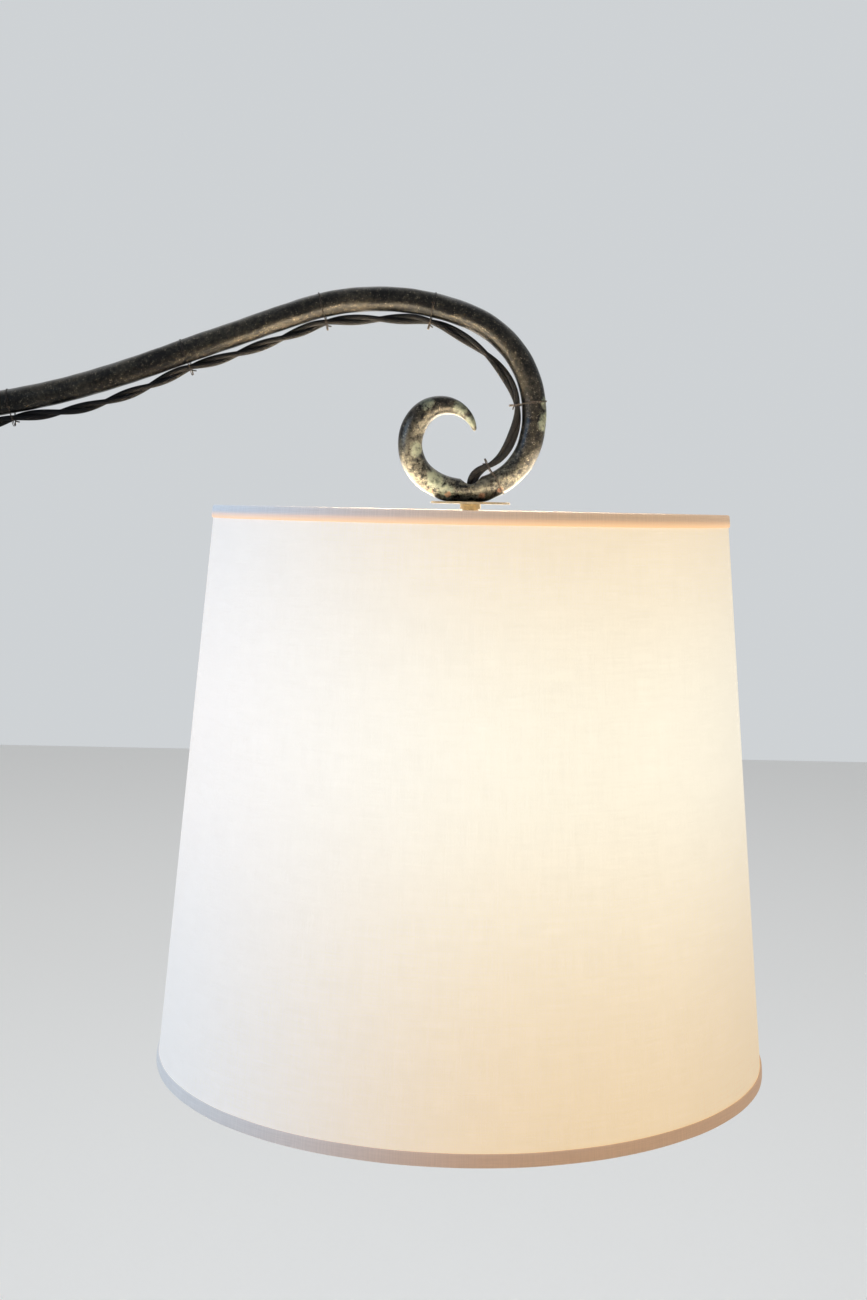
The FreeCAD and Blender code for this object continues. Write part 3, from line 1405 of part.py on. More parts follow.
def make_cord_fittings():
    cord_bore = cord_radius + sizes.cord_clearance
    keep("cord_bush", turned("cord_bush", (
        (cord_bore, -sizes.base_wall),
        (sizes.bush_radius, -sizes.base_wall),
        (sizes.bush_radius, 0),
        (sizes.bush_flange_radius, 0),
        (sizes.bush_flange_radius, sizes.bush_flange_height),
        (cord_bore, sizes.bush_flange_height),
    ), y=CORD_ENTRY, z=sizes.base_height))

    reach_out = RELIEF_LENGTH
    keep("strain_relief", turned("strain_relief", (
        (cord_bore, -sizes.base_rim_wall),
        (sizes.relief_radius, -sizes.base_rim_wall),
        (sizes.relief_radius, 0),
        (sizes.relief_flange_radius, 0),
        (sizes.relief_flange_radius, sizes.relief_flange_height),
        (sizes.relief_radius, sizes.relief_flange_height),
        (sizes.relief_tip_radius, reach_out),
        (cord_bore, reach_out),
    ), y=sizes.base_radius, z=RELIEF_HEIGHT, rotation=ALONG_Y))

    keep("plug_body", turned("plug_body", (
        (0, 0),
        (sizes.plug_neck_radius, 0),
        (sizes.plug_neck_radius * 1.2, sizes.plug_neck_length),
        (sizes.plug_radius, sizes.plug_neck_length * 1.4),
        (sizes.plug_radius, sizes.plug_length - 1),
        (sizes.plug_radius - 1, sizes.plug_length),
        (0, sizes.plug_length),
    ), *PLUG_ENTRY, AGAINST_Y))
    blades = []
    for index, side in enumerate((1, -1)):
        blades.append(box(
            f"blade_{index}", sizes.blade_thickness, sizes.blade_length, sizes.blade_width,
            PLUG_ENTRY[0] + side * sizes.blade_spacing / 2 - sizes.blade_thickness / 2,
            PLUG_ENTRY[1] - sizes.plug_length - sizes.blade_length,
            PLUG_ENTRY[2] - sizes.blade_width / 2,
        ))
    keep("plug_blades", group("plug_blades", blades))


# ---------------------------------------------------------------- build, test and write

make_base()
make_upright()
make_swivel_hub()
make_arm_bar()
make_fittings()
make_bulb()
make_leads()
make_shade()
make_cords()
make_cord_fittings()
doc.recompute()

for item in doc.Objects:
    if "Invalid" in item.State or "Error" in item.State:
        raise RuntimeError(f"{item.Label} failed: {item.State}")
for node, piece in pieces.items():
    if piece.Shape.isNull() or not piece.Shape.isValid() or not piece.Shape.Solids:
        raise RuntimeError(f"{node} has no valid solid")

os.makedirs("parts", exist_ok=True)
for node, piece in pieces.items():
    piece.Shape.exportStep(os.path.join("parts", node + ".step"))
    print(f"{node}: {len(piece.Shape.Solids)} solid(s), {piece.Shape.Volume / 1000:.1f} cm3")
print(len(pieces), "nodes; reach", round(reach.number, 2), "rim", round(rim_z.number, 2))
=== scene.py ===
"""The looks of a bridge floor lamp: forged arm with a scroll, twisted cloth cord and a linen shade.

Everything is in metres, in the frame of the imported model: +Z up, +X along the arm.
"""

import logging
import math
from collections.abc import Callable
from dataclasses import dataclass
from enum import Enum

import bpy
import numpy as np
from mathutils import Matrix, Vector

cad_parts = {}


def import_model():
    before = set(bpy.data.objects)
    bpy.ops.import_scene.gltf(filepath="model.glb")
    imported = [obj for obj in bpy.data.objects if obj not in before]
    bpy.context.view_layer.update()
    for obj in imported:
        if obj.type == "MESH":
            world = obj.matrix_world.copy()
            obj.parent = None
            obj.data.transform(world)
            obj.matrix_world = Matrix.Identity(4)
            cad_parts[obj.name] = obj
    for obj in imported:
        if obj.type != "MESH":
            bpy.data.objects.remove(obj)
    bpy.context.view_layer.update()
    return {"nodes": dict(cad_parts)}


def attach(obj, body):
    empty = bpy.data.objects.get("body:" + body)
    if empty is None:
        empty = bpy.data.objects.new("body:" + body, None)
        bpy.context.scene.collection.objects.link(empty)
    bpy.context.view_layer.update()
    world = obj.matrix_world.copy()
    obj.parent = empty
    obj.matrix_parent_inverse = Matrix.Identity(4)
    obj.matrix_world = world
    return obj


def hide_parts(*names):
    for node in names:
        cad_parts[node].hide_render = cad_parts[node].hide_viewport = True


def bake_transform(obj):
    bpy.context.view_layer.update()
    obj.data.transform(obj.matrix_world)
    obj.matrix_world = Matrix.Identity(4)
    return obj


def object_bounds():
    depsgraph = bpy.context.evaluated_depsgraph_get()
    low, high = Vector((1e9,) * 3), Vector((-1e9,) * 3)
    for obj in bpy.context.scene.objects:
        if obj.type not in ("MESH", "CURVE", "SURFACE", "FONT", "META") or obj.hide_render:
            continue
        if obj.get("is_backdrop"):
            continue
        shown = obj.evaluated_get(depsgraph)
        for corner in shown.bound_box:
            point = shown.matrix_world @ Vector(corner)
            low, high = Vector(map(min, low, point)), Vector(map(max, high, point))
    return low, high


log = logging.getLogger("bridge_lamp")
MM = 0.001
TURN = 2.0 * math.pi

Colour = tuple[float, float, float]
Point = tuple[float, float, float]
BLACK: Colour = (0.0, 0.0, 0.0)

# ---- shader arithmetic


def arithmetic(operation: str, swapped: bool = False) -> "Callable[[Signal, Signal | float], Signal]":
    """Make the method that adds a Math node of two inputs.

    Args:
        operation: the Math node's operation.
        swapped: whether the signal itself is the second input.

    Returns:
        The method.
    """
    def method(self: "Signal", other: "Signal | float") -> "Signal":
        return self.maths(operation, *((other, self) if swapped else (self, other)))

    return method


class Signal:
    """A socket that takes part in Python arithmetic, each operation adding a Math node."""

    def __init__(self, desk: "Desk", socket: bpy.types.NodeSocket) -> None:
        """Wrap a socket of the desk's node tree."""
        self.desk = desk
        self.socket = socket

    def maths(self, operation: str, *values: "Signal | float") -> "Signal":
        """Add a Math node with these inputs and return its value."""
        return self.desk.node("ShaderNodeMath", {"operation": operation}, list(values))

    __add__ = __radd__ = arithmetic("ADD")
    __mul__ = __rmul__ = arithmetic("MULTIPLY")
    __sub__ = arithmetic("SUBTRACT")
    __rsub__ = arithmetic("SUBTRACT", swapped=True)
    __truediv__ = arithmetic("DIVIDE")
    __pow__ = arithmetic("POWER")
    larger = arithmetic("MAXIMUM")

    def sine(self) -> "Signal":
        """Return the sine."""
        return self.maths("SINE", self)

    def step(self, low: float, high: float) -> "Signal":
        """Return 0 below low, 1 above high and a smooth step between them."""
        settings = {"interpolation_type": "SMOOTHSTEP"}
        return self.desk.node("ShaderNodeMapRange", settings, [self, low, high, 0.0, 1.0])


class Desk:
    """Where one material's nodes are laid out."""

    def __init__(self, name: str) -> None:
        """Start a material with an empty Principled shader."""
        self.material = bpy.data.materials.new(name)
        self.material.use_nodes = True
        self.tree = self.material.node_tree
        self.shader = self.tree.nodes["Principled BSDF"]

    def node(self, kind: str, settings: dict | None = None, inputs: "list | dict | None" = None,
             out: "str | int" = 0) -> Signal:
        """Add a node: its settings first, then the values or links of its sockets.

        Args:
            kind: the node's type.
            settings: its own settings.
            inputs: values or signals, in order or by socket name.
            out: the output that is returned.

        Returns:
            The chosen output.
        """
        made = self.tree.nodes.new(kind)
        for key, value in (settings or {}).items():
            setattr(made, key, value)
        pairs = inputs.items() if isinstance(inputs, dict) else enumerate(inputs or [])
        for key, value in pairs:
            self.feed(made.inputs[key], value)
        return Signal(self, made.outputs[out])

    def feed(self, socket: bpy.types.NodeSocket, value: "Signal | float | tuple") -> None:
        """Link a signal to a socket, or set the socket's own value."""
        if isinstance(value, Signal):
            self.tree.links.new(value.socket, socket)
        elif isinstance(value, tuple) and len(value) == 3 and socket.type == "RGBA":
            socket.default_value = (*value, 1.0)
        else:
            socket.default_value = value

    def set(self, **sockets: "Signal | float | tuple") -> None:
        """Fill the shader's sockets; an underscore in a name stands for a space."""
        for name, value in sockets.items():
            self.feed(self.shader.inputs[name.replace("_", " ")], value)

    def place(self, source: str = "Object") -> Signal:
        """Return the point's coordinates on the piece."""
        return self.node("ShaderNodeTexCoord", out=source)

    def axes(self, source: Signal) -> tuple[Signal, Signal, Signal]:
        """Split coordinates into their three parts."""
        first = self.node("ShaderNodeSeparateXYZ", {}, [source])
        node = first.socket.node
        return tuple(Signal(self, node.outputs[index]) for index in range(3))

    def stretched(self, source: Signal, scale: Point) -> Signal:
        """Scale coordinates along each axis, so that a pattern on them is stretched."""
        return self.node("ShaderNodeMapping", {}, {"Vector": source, "Scale": scale})

    def noise(self, source: Signal, scale: float, detail: float = 3.0, rough: float = 0.55,
              seed: float = 0.0) -> Signal:
        """Return cloudy noise from 0 to 1, about 0.5."""
        settings = {"noise_dimensions": "4D"}
        inputs = {"Vector": source, "W": seed, "Scale": scale, "Detail": detail, "Roughness": rough}
        return self.node("ShaderNodeTexNoise", settings, inputs, "Fac")

    def mix(self, share: "Signal | float", first: "Signal | Colour",
            second: "Signal | Colour" = BLACK) -> Signal:
        """Mix two colours, or darken one."""
        made = self.tree.nodes.new("ShaderNodeMix")
        made.data_type = "RGBA"
        self.feed(made.inputs[0], share)
        self.feed(made.inputs[6], first)
        self.feed(made.inputs[7], second)
        return Signal(self, made.outputs[2])

    def near(self, source: Signal, spot: Point, inner: float, outer: float) -> Signal:
        """Return 1 within the inner distance of a spot, 0 beyond the outer one."""
        away = self.node("ShaderNodeVectorMath", {"operation": "DISTANCE"}, [source, spot], "Value")
        return 1.0 - away.step(inner, outer)

    def bump(self, height: Signal, depth: float, strength: float) -> None:
        """Raise the surface by a height signal, with the depth in metres."""
        inputs = {"Strength": strength, "Distance": depth, "Height": height}
        normal = self.node("ShaderNodeBump", {}, inputs)
        self.feed(self.shader.inputs["Normal"], normal)


# ---- finishes


@dataclass(frozen=True)
class PatinatedIron:
    """Hand-forged iron under a dark waxed patina, with pale green and rusty spots where named, and a greyer
    patch of wear and painted glow.
    """

    name: str = "patinated_iron"
    dark: Colour = (0.004, 0.0038, 0.0036)
    olive: Colour = (0.050, 0.043, 0.031)
    worn_and_lit_grey: Colour = (0.13, 0.12, 0.09)
    bare: Colour = (0.34, 0.29, 0.20)
    green: Colour = (0.15, 0.17, 0.12)
    rust: Colour = (0.20, 0.075, 0.03)
    roughness: float = 0.24
    metallic: float = 0.82
    spot_edge: tuple[float, float] = (0.585, 0.715)
    green_spots: tuple[tuple[Point, float], ...] = ()
    rust_spots: tuple[tuple[Point, float], ...] = ()
    # the greyer patch round this spot: rubbed wear, and painted light of the shade's glow
    worn_and_glow_centre: Point | None = None
    worn_and_glow_reach: float = 0.075

    def material(self) -> bpy.types.Material:
        """Build the finish."""
        desk = Desk(self.name)
        place = desk.place()
        cloud = desk.noise(place, 55.0, 5.0, 0.62)
        grain = desk.noise(place, 420.0, 4.0, 0.68, seed=2.0)
        fine = desk.noise(place, 1500.0, 2.0, 0.6, seed=5.0)
        blotch = (cloud * 0.5 + grain * 0.5).step(0.42, 0.66)
        colour = desk.mix(blotch * 0.75, self.dark, self.olive)
        rough = self.roughness + grain * 0.24
        # a greyer, rougher patch: rubbed wear, and painted light where the shade's glow falls on the bar
        if self.worn_and_glow_centre is not None:
            worn = desk.near(place, self.worn_and_glow_centre, self.worn_and_glow_reach * 0.45, self.worn_and_glow_reach)
            rubbed_and_lit = worn * (cloud * 0.4 + grain * 0.6).step(0.40, 0.60)
            colour = desk.mix(rubbed_and_lit * 0.85, colour, self.worn_and_lit_grey)
            rough = rough + rubbed_and_lit * 0.10
        speck = (grain * 0.35 + fine * 0.65).step(0.575, 0.66)
        colour = desk.mix(speck * 0.5, colour, self.bare)
        metal = self.metallic - speck * 0.15
        for tint, spots in ((self.green, self.green_spots), (self.rust, self.rust_spots)):
            for spot, reach in spots:
                patch = desk.near(place, spot, reach * 0.3, reach)
                ragged = desk.noise(place, 150.0, 6.0, 0.75, seed=9.0)
                shape = (patch * 0.36 + ragged * 0.34 + grain * 0.30).step(*self.spot_edge) * patch
                colour = desk.mix(shape * 0.62, colour, tint)
                metal = metal * (1.0 - shape * 0.7)
                rough = rough + shape * 0.25
        desk.set(Base_Color=colour, Roughness=rough, Metallic=metal,
                 Coat_Weight=0.12, Coat_Roughness=0.2)
        desk.bump(cloud * 0.5 + grain * 0.38 + fine * 0.12, 0.0011, 0.6)
        return desk.material


@dataclass(frozen=True)
class CastSkin:
    """The sandy skin of a casting under the same dark patina."""

    name: str = "cast_skin"
    dark: Colour = (0.026, 0.024, 0.023)
    warm: Colour = (0.085, 0.071, 0.052)
    roughness: float = 0.46

    def material(self) -> bpy.types.Material:
        """Build the finish."""
        desk = Desk(self.name)
        place = desk.place()
        cloud = desk.noise(place, 22.0, 5.0, 0.6)
        sand = desk.noise(place, 750.0, 3.0, 0.65, seed=3.0)
        worn = (cloud * 0.6 + sand * 0.4).step(0.46, 0.66)
        desk.set(Base_Color=desk.mix(worn * 0.6, self.dark, self.warm), Metallic=0.65,
                 Roughness=self.roughness + sand * 0.25)
        desk.bump(cloud * 0.3 + sand * 0.7, 0.0006, 0.5)
        return desk.material


@dataclass(frozen=True)
class Brass:
    """Turned brass, with fine lathe lines and a little toning."""

    name: str = "brass"
    bright: Colour = (0.74, 0.55, 0.27)
    toned: Colour = (0.40, 0.29, 0.15)
    toning: float = 0.5
    roughness: float = 0.24
    line_scale: Point = (30.0, 30.0, 2600.0)

    def material(self) -> bpy.types.Material:
        """Build the finish."""
        desk = Desk(self.name)
        place = desk.place()
        cloud = desk.noise(place, 160.0, 4.0, 0.6)
        lines = desk.noise(desk.stretched(place, self.line_scale), 1.0, 2.0, 0.5)
        tone = (cloud * 0.8 + lines * 0.2).step(0.42, 0.68)
        desk.set(Base_Color=desk.mix(tone * self.toning, self.bright, self.toned), Metallic=1.0,
                 Roughness=self.roughness + tone * 0.2 + lines * 0.08)
        desk.bump(lines * 0.5 + cloud * 0.5, 0.0002, 0.35)
        return desk.material


@dataclass(frozen=True)
class Smooth:
    """A moulded, coated or rubber skin with a faint mottle."""

    name: str
    colour: Colour
    second: Colour
    roughness: float = 0.45
    metallic: float = 0.0
    grain: float = 900.0
    depth: float = 0.0002

    def material(self) -> bpy.types.Material:
        """Build the finish."""
        desk = Desk(self.name)
        place = desk.place()
        cloud = desk.noise(place, 70.0, 3.0, 0.6)
        grain = desk.noise(place, self.grain, 2.0, 0.6, seed=4.0)
        share = (cloud * 0.6 + grain * 0.4).step(0.38, 0.62)
        desk.set(Base_Color=desk.mix(share, self.colour, self.second),
                 Roughness=self.roughness + grain * 0.18, Metallic=self.metallic)
        desk.bump(grain, self.depth, 0.5)
        return desk.material


@dataclass(frozen=True)
class BraidedCloth:
    """A braided cloth cover; its UV map runs along and around the strand, in metres and in turns."""

    name: str = "braided_cloth"
    dark: Colour = (0.002, 0.002, 0.0024)
    light: Colour = (0.011, 0.0102, 0.0098)
    carriers: float = 8.0
    pick: float = 0.0013

    def material(self) -> bpy.types.Material:
        """Build the finish: two sets of ribs that wind opposite ways and pass over each other."""
        desk = Desk(self.name)
        along, around, _ = desk.axes(desk.place("UV"))
        lay = along * (TURN / self.pick)
        wind = around * (TURN * self.carriers)
        left = (wind + lay).sine() * 0.5 + 0.5
        right = (wind - lay).sine() * 0.5 + 0.5
        rib = left.larger(right)
        cloud = desk.noise(desk.place(), 260.0, 3.0, 0.6)
        fibre = desk.noise(desk.place(), 3200.0, 2.0, 0.6, seed=3.0)
        # partly painted shade: the grooves between the ribs are painted darker; the fibre and cloud noise is
        # the yarn's own tone
        shade = (rib * 0.55 + fibre * 0.3 + cloud * 0.15).step(0.35, 0.85)
        desk.set(Base_Color=desk.mix(shade, self.dark, self.light), Roughness=0.78 - shade * 0.2,
                 Specular_IOR_Level=0.14)
        desk.bump(rib * 0.8 + fibre * 0.2, 0.0007, 0.8)
        return desk.material


class Cloth(Enum):
    """Which part of the shade a linen is for."""

    PANEL = "panel"
    TAPE = "tape"


@dataclass(frozen=True)
class Linen:
    """Plain-weave linen with painted light: the bulb's glow from behind and cool daylight on the left; its UV
    map runs around and down the shade, in metres.
    """

    name: str
    part: Cloth
    colour: Colour
    # warm and warm_low: the bulb's light through the cloth, painted as glow; cool and cool_low: painted
    # daylight on the left side
    warm: Colour
    warm_low: Colour
    cool: Colour
    cool_low: Colour
    bulb: Point
    wall: float = 0.165
    yarn_pitch: float = 0.00052
    edge_glow: float = 0.0
    edge_light: Colour = (0.95, 0.52, 0.20)

    def material(self) -> bpy.types.Material:
        """Build the finish: yarns of uneven thickness both ways, and painted light: the bulb's glow spread on
        the cloth, with painted daylight cooler on the left.
        """
        desk = Desk(self.name)
        cut = desk.place("UV")
        place = desk.place()
        across, down, _ = desk.axes(cut)
        warp = desk.noise(desk.stretched(cut, (60.0, 1900.0, 1.0)), 1.0, 2.0, 0.6)
        weft = desk.noise(desk.stretched(cut, (1900.0, 55.0, 1.0)), 1.0, 2.0, 0.6, seed=7.0)
        slub_warp = desk.noise(desk.stretched(cut, (20.0, 800.0, 1.0)), 1.0, 3.0, 0.6, seed=11.0)
        slub_weft = desk.noise(desk.stretched(cut, (800.0, 17.0, 1.0)), 1.0, 3.0, 0.6, seed=13.0)
        pitch = TURN / self.yarn_pitch
        grid = (across * pitch).sine() * (down * pitch).sine() * 0.5 + 0.5
        yarn = warp * 0.32 + weft * 0.32 + slub_warp * 0.18 + slub_weft * 0.18
        tone = (yarn * 0.93 + grid * 0.07).step(0.40, 0.60)
        mottle = desk.noise(place, 9.0, 3.0, 0.5)
        colour = desk.mix(tone, tuple(0.90 * part for part in self.colour), self.colour)
        east, _, height = desk.axes(place)
        # painted light: from left to right the glow turns from cool painted daylight to the bulb's warm light
        side = east.step(self.bulb[0] - 0.175, self.bulb[0] + 0.03)
        if self.part is Cloth.PANEL:
            drop = (height - self.bulb[2]) / self.wall
            spread = (drop * drop + 1.0) ** -1.5
            spread = spread * (0.96 + mottle * 0.08)
            lit = desk.mix(spread, desk.mix(side, self.cool_low, self.warm_low),
                           desk.mix(side, self.cool, self.warm))
            # painted shade: the glow is darkened by up to 14% towards the shade's right flank
            edge = east.step(self.bulb[0] + 0.09, self.bulb[0] + 0.18) * 0.14
            lit = desk.mix(edge, lit)
            lit = desk.mix(tone, desk.mix(0.11, lit), lit)
        else:
            # painted light: cool daylight on the tape's left, the bulb's warm light through it on the right
            lit = desk.mix(side, desk.mix(mottle, self.cool_low, self.cool),
                           desk.mix(mottle, self.warm_low, self.warm))
            lit = desk.mix(tone, desk.mix(0.14, lit), lit)
            # painted glow: the bulb's orange light painted along the free edge of the tape's outer leg
            seam = (1.0 - across.step(0.0006, 0.0050)) * self.edge_glow
            lit = desk.mix(seam, lit, self.edge_light)
        desk.set(Base_Color=colour, Roughness=0.88, Sheen_Weight=0.12, Sheen_Roughness=0.5,
                 Emission_Color=lit, Emission_Strength=1.0)
        desk.bump(tone, 0.0003, 0.35)
        return desk.material


@dataclass(frozen=True)
class GlowingSkin:
    """Frosted glass over a glowing filament; on the shade's lining, the bulb's light painted on as glow."""

    name: str
    colour: Colour
    glow: Colour
    strength: float
    roughness: float = 0.35

    def material(self) -> bpy.types.Material:
        """Build the finish."""
        desk = Desk(self.name)
        frost = desk.noise(desk.place(), 500.0, 2.0, 0.6)
        desk.set(Base_Color=self.colour, Roughness=self.roughness + frost * 0.1,
                 Emission_Color=desk.mix(frost * 0.2, self.glow, self.colour),
                 Emission_Strength=self.strength)
        return desk.material


# ---- surfaces on grids


@dataclass
class Patch:
    """A grid of points with its UV values along both ways."""

    points: np.ndarray
    rows_uv: np.ndarray
    columns_uv: np.ndarray
    wrap_rows: bool = False
    wrap_columns: bool = True
    caps: bool = False

    def quads(self) -> tuple[np.ndarray, np.ndarray]:
        """Return the grid's quads and each quad corner's UV, closed where it wraps."""
        rows, columns = self.points.shape[:2]
        row = np.arange(rows if self.wrap_rows else rows - 1)[:, None]
        column = np.arange(columns if self.wrap_columns else columns - 1)[None, :]
        row, column = np.broadcast_arrays(row, column)
        corner_rows = np.stack([row, row, row + 1, row + 1], -1)
        corner_columns = np.stack([column, column + 1, column + 1, column], -1)
        index = (corner_rows % rows) * columns + corner_columns % columns
        uv = np.stack([self.rows_uv[corner_rows], self.columns_uv[corner_columns]], -1)
        return index.reshape(-1, 4), uv.reshape(-1, 4, 2)


def volume(first: np.ndarray, second: np.ndarray, third: np.ndarray) -> float:
    """Six times the signed volume between triangles and the origin."""
    return np.einsum("ij,ij->i", first, np.cross(second, third)).sum()


def make_piece(name: str, patches: list[Patch], material: bpy.types.Material) -> bpy.types.Object:
    """Put grid patches into one smooth mesh with outward faces.

    Args:
        name: the piece's name.
        patches: its surfaces.
        material: its finish.

    Returns:
        The new object, linked to the scene.
    """
    points, faces, corners, start = [], [], [], 0
    for patch in patches:
        flat = patch.points.reshape(-1, 3)
        quads, uv = patch.quads()
        closed = patch.wrap_columns and (patch.wrap_rows or patch.caps)
        a, b, c, d = (flat[quads[:, corner]] for corner in range(4))
        signed = volume(a, b, c) + volume(a, c, d)
        ends = []
        if patch.caps:
            columns = patch.points.shape[1]
            ends = [np.arange(columns)[::-1], np.arange(columns) + len(flat) - columns]
            for ring in ends:
                fan = flat[ring]
                middle = np.broadcast_to(fan.mean(axis=0), fan.shape)
                signed += volume(middle, fan, np.roll(fan, -1, axis=0))
        if closed and signed < 0:
            quads, uv = quads[:, ::-1], uv[:, ::-1]
            ends = [ring[::-1] for ring in ends]
        points.append(flat)
        faces.extend((quads + start).tolist())
        corners.append(uv.reshape(-1, 2))
        for ring in ends:
            faces.append((ring + start).tolist())
            corners.append(np.zeros((len(ring), 2)))
        start += len(flat)
    mesh = bpy.data.meshes.new(name)
    mesh.from_pydata(np.concatenate(points).tolist(), [], faces)
    layer = mesh.uv_layers.new(name="UVMap")
    layer.data.foreach_set("uv", np.concatenate(corners).ravel())
    mesh.polygons.foreach_set("use_smooth", np.full(len(mesh.polygons), True))
    mesh.update()
    mesh.materials.append(material)
    piece = bpy.data.objects.new(name, mesh)
    bpy.context.scene.collection.objects.link(piece)
    return piece


def bearings(columns: int) -> np.ndarray:
    """Even angles round one turn."""
    return np.linspace(0.0, TURN, columns, endpoint=False)


def unit(ways: np.ndarray) -> np.ndarray:
    """Scale each row to a length of one."""
    return ways / np.linalg.norm(ways, axis=1)[:, None]


def lengths_along(line: np.ndarray) -> np.ndarray:
    """Return each point's distance from the start, summed along the line."""
    steps = np.linalg.norm(np.diff(line, axis=0), axis=1)
    return np.concatenate([[0.0], np.cumsum(steps)])


def evenly(line: np.ndarray, spacing: float) -> np.ndarray:
    """Respace a line's points evenly along its length."""
    along = lengths_along(line)
    stations = np.linspace(0.0, along[-1], max(int(along[-1] / spacing), 4) + 1)
    return np.stack([np.interp(stations, along, line[:, axis]) for axis in range(3)], 1)


def frame_along(line: np.ndarray, side: Point) -> tuple[np.ndarray, np.ndarray]:
    """Two unit directions across a line: one as near as can be to the side, one square to both.

    Args:
        line: the points.
        side: a direction that the line never follows.

    Returns:
        The two directions at each point.
    """
    tangent = unit(np.gradient(line, axis=0))
    side_way = np.array(side, float)[None, :]
    first = unit(side_way - tangent * np.sum(tangent * side_way, axis=1)[:, None])
    return first, np.cross(tangent, first)


def tube(line: np.ndarray, radius: float, side: Point, columns: int = 12) -> Patch:
    """A round tube: at each point of the line, radius times (cos a across + sin a square to it)."""
    first, second = frame_along(line, side)
    angle = bearings(columns)[None, :, None]
    ring = np.cos(angle) * first[:, None, :] + np.sin(angle) * second[:, None, :]
    return Patch(line[:, None, :] + radius * ring, lengths_along(line),
                 np.linspace(0.0, 1.0, columns + 1), caps=True)


def spun(profile: np.ndarray, centre: Point, wave: np.ndarray) -> Patch:
    """A closed profile of (radius, height) turned about the vertical through the centre.

    The wave has one number for each column, which is added to every radius there.
    """
    columns = len(wave)
    angle = bearings(columns)
    radius = profile[:, 0][:, None] + wave[None, :]
    height = np.broadcast_to(profile[:, 1][:, None], radius.shape)
    points = np.stack([centre[0] + radius * np.cos(angle), centre[1] + radius * np.sin(angle),
                       centre[2] + height], -1)
    ends = np.vstack([profile, profile[:1]])
    mean = float(profile[:, 0].mean())
    return Patch(points, lengths_along(ends), np.linspace(0.0, TURN * mean, columns + 1), wrap_rows=True)


def route_line(name: str, route: list[Point]) -> np.ndarray:
    """Read the smooth line of a NURBS spline whose control points are the route, given in millimetres."""
    curve = bpy.data.curves.new(name, "CURVE")
    curve.dimensions = "3D"
    curve.resolution_u = 16
    spline = curve.splines.new("NURBS")
    spline.points.add(len(route) - 1)
    control = np.column_stack([np.array(route, float) * MM, np.ones(len(route))])
    spline.points.foreach_set("co", control.ravel())
    spline.order_u = 3
    spline.use_endpoint_u = True
    holder = bpy.data.objects.new(name, curve)
    mesh = bpy.data.meshes.new_from_object(holder)
    found = np.empty(len(mesh.vertices) * 3)
    mesh.vertices.foreach_get("co", found)
    bpy.data.objects.remove(holder)
    bpy.data.curves.remove(curve)
    bpy.data.meshes.remove(mesh)
    return found.reshape(-1, 3)


# ---- the arm


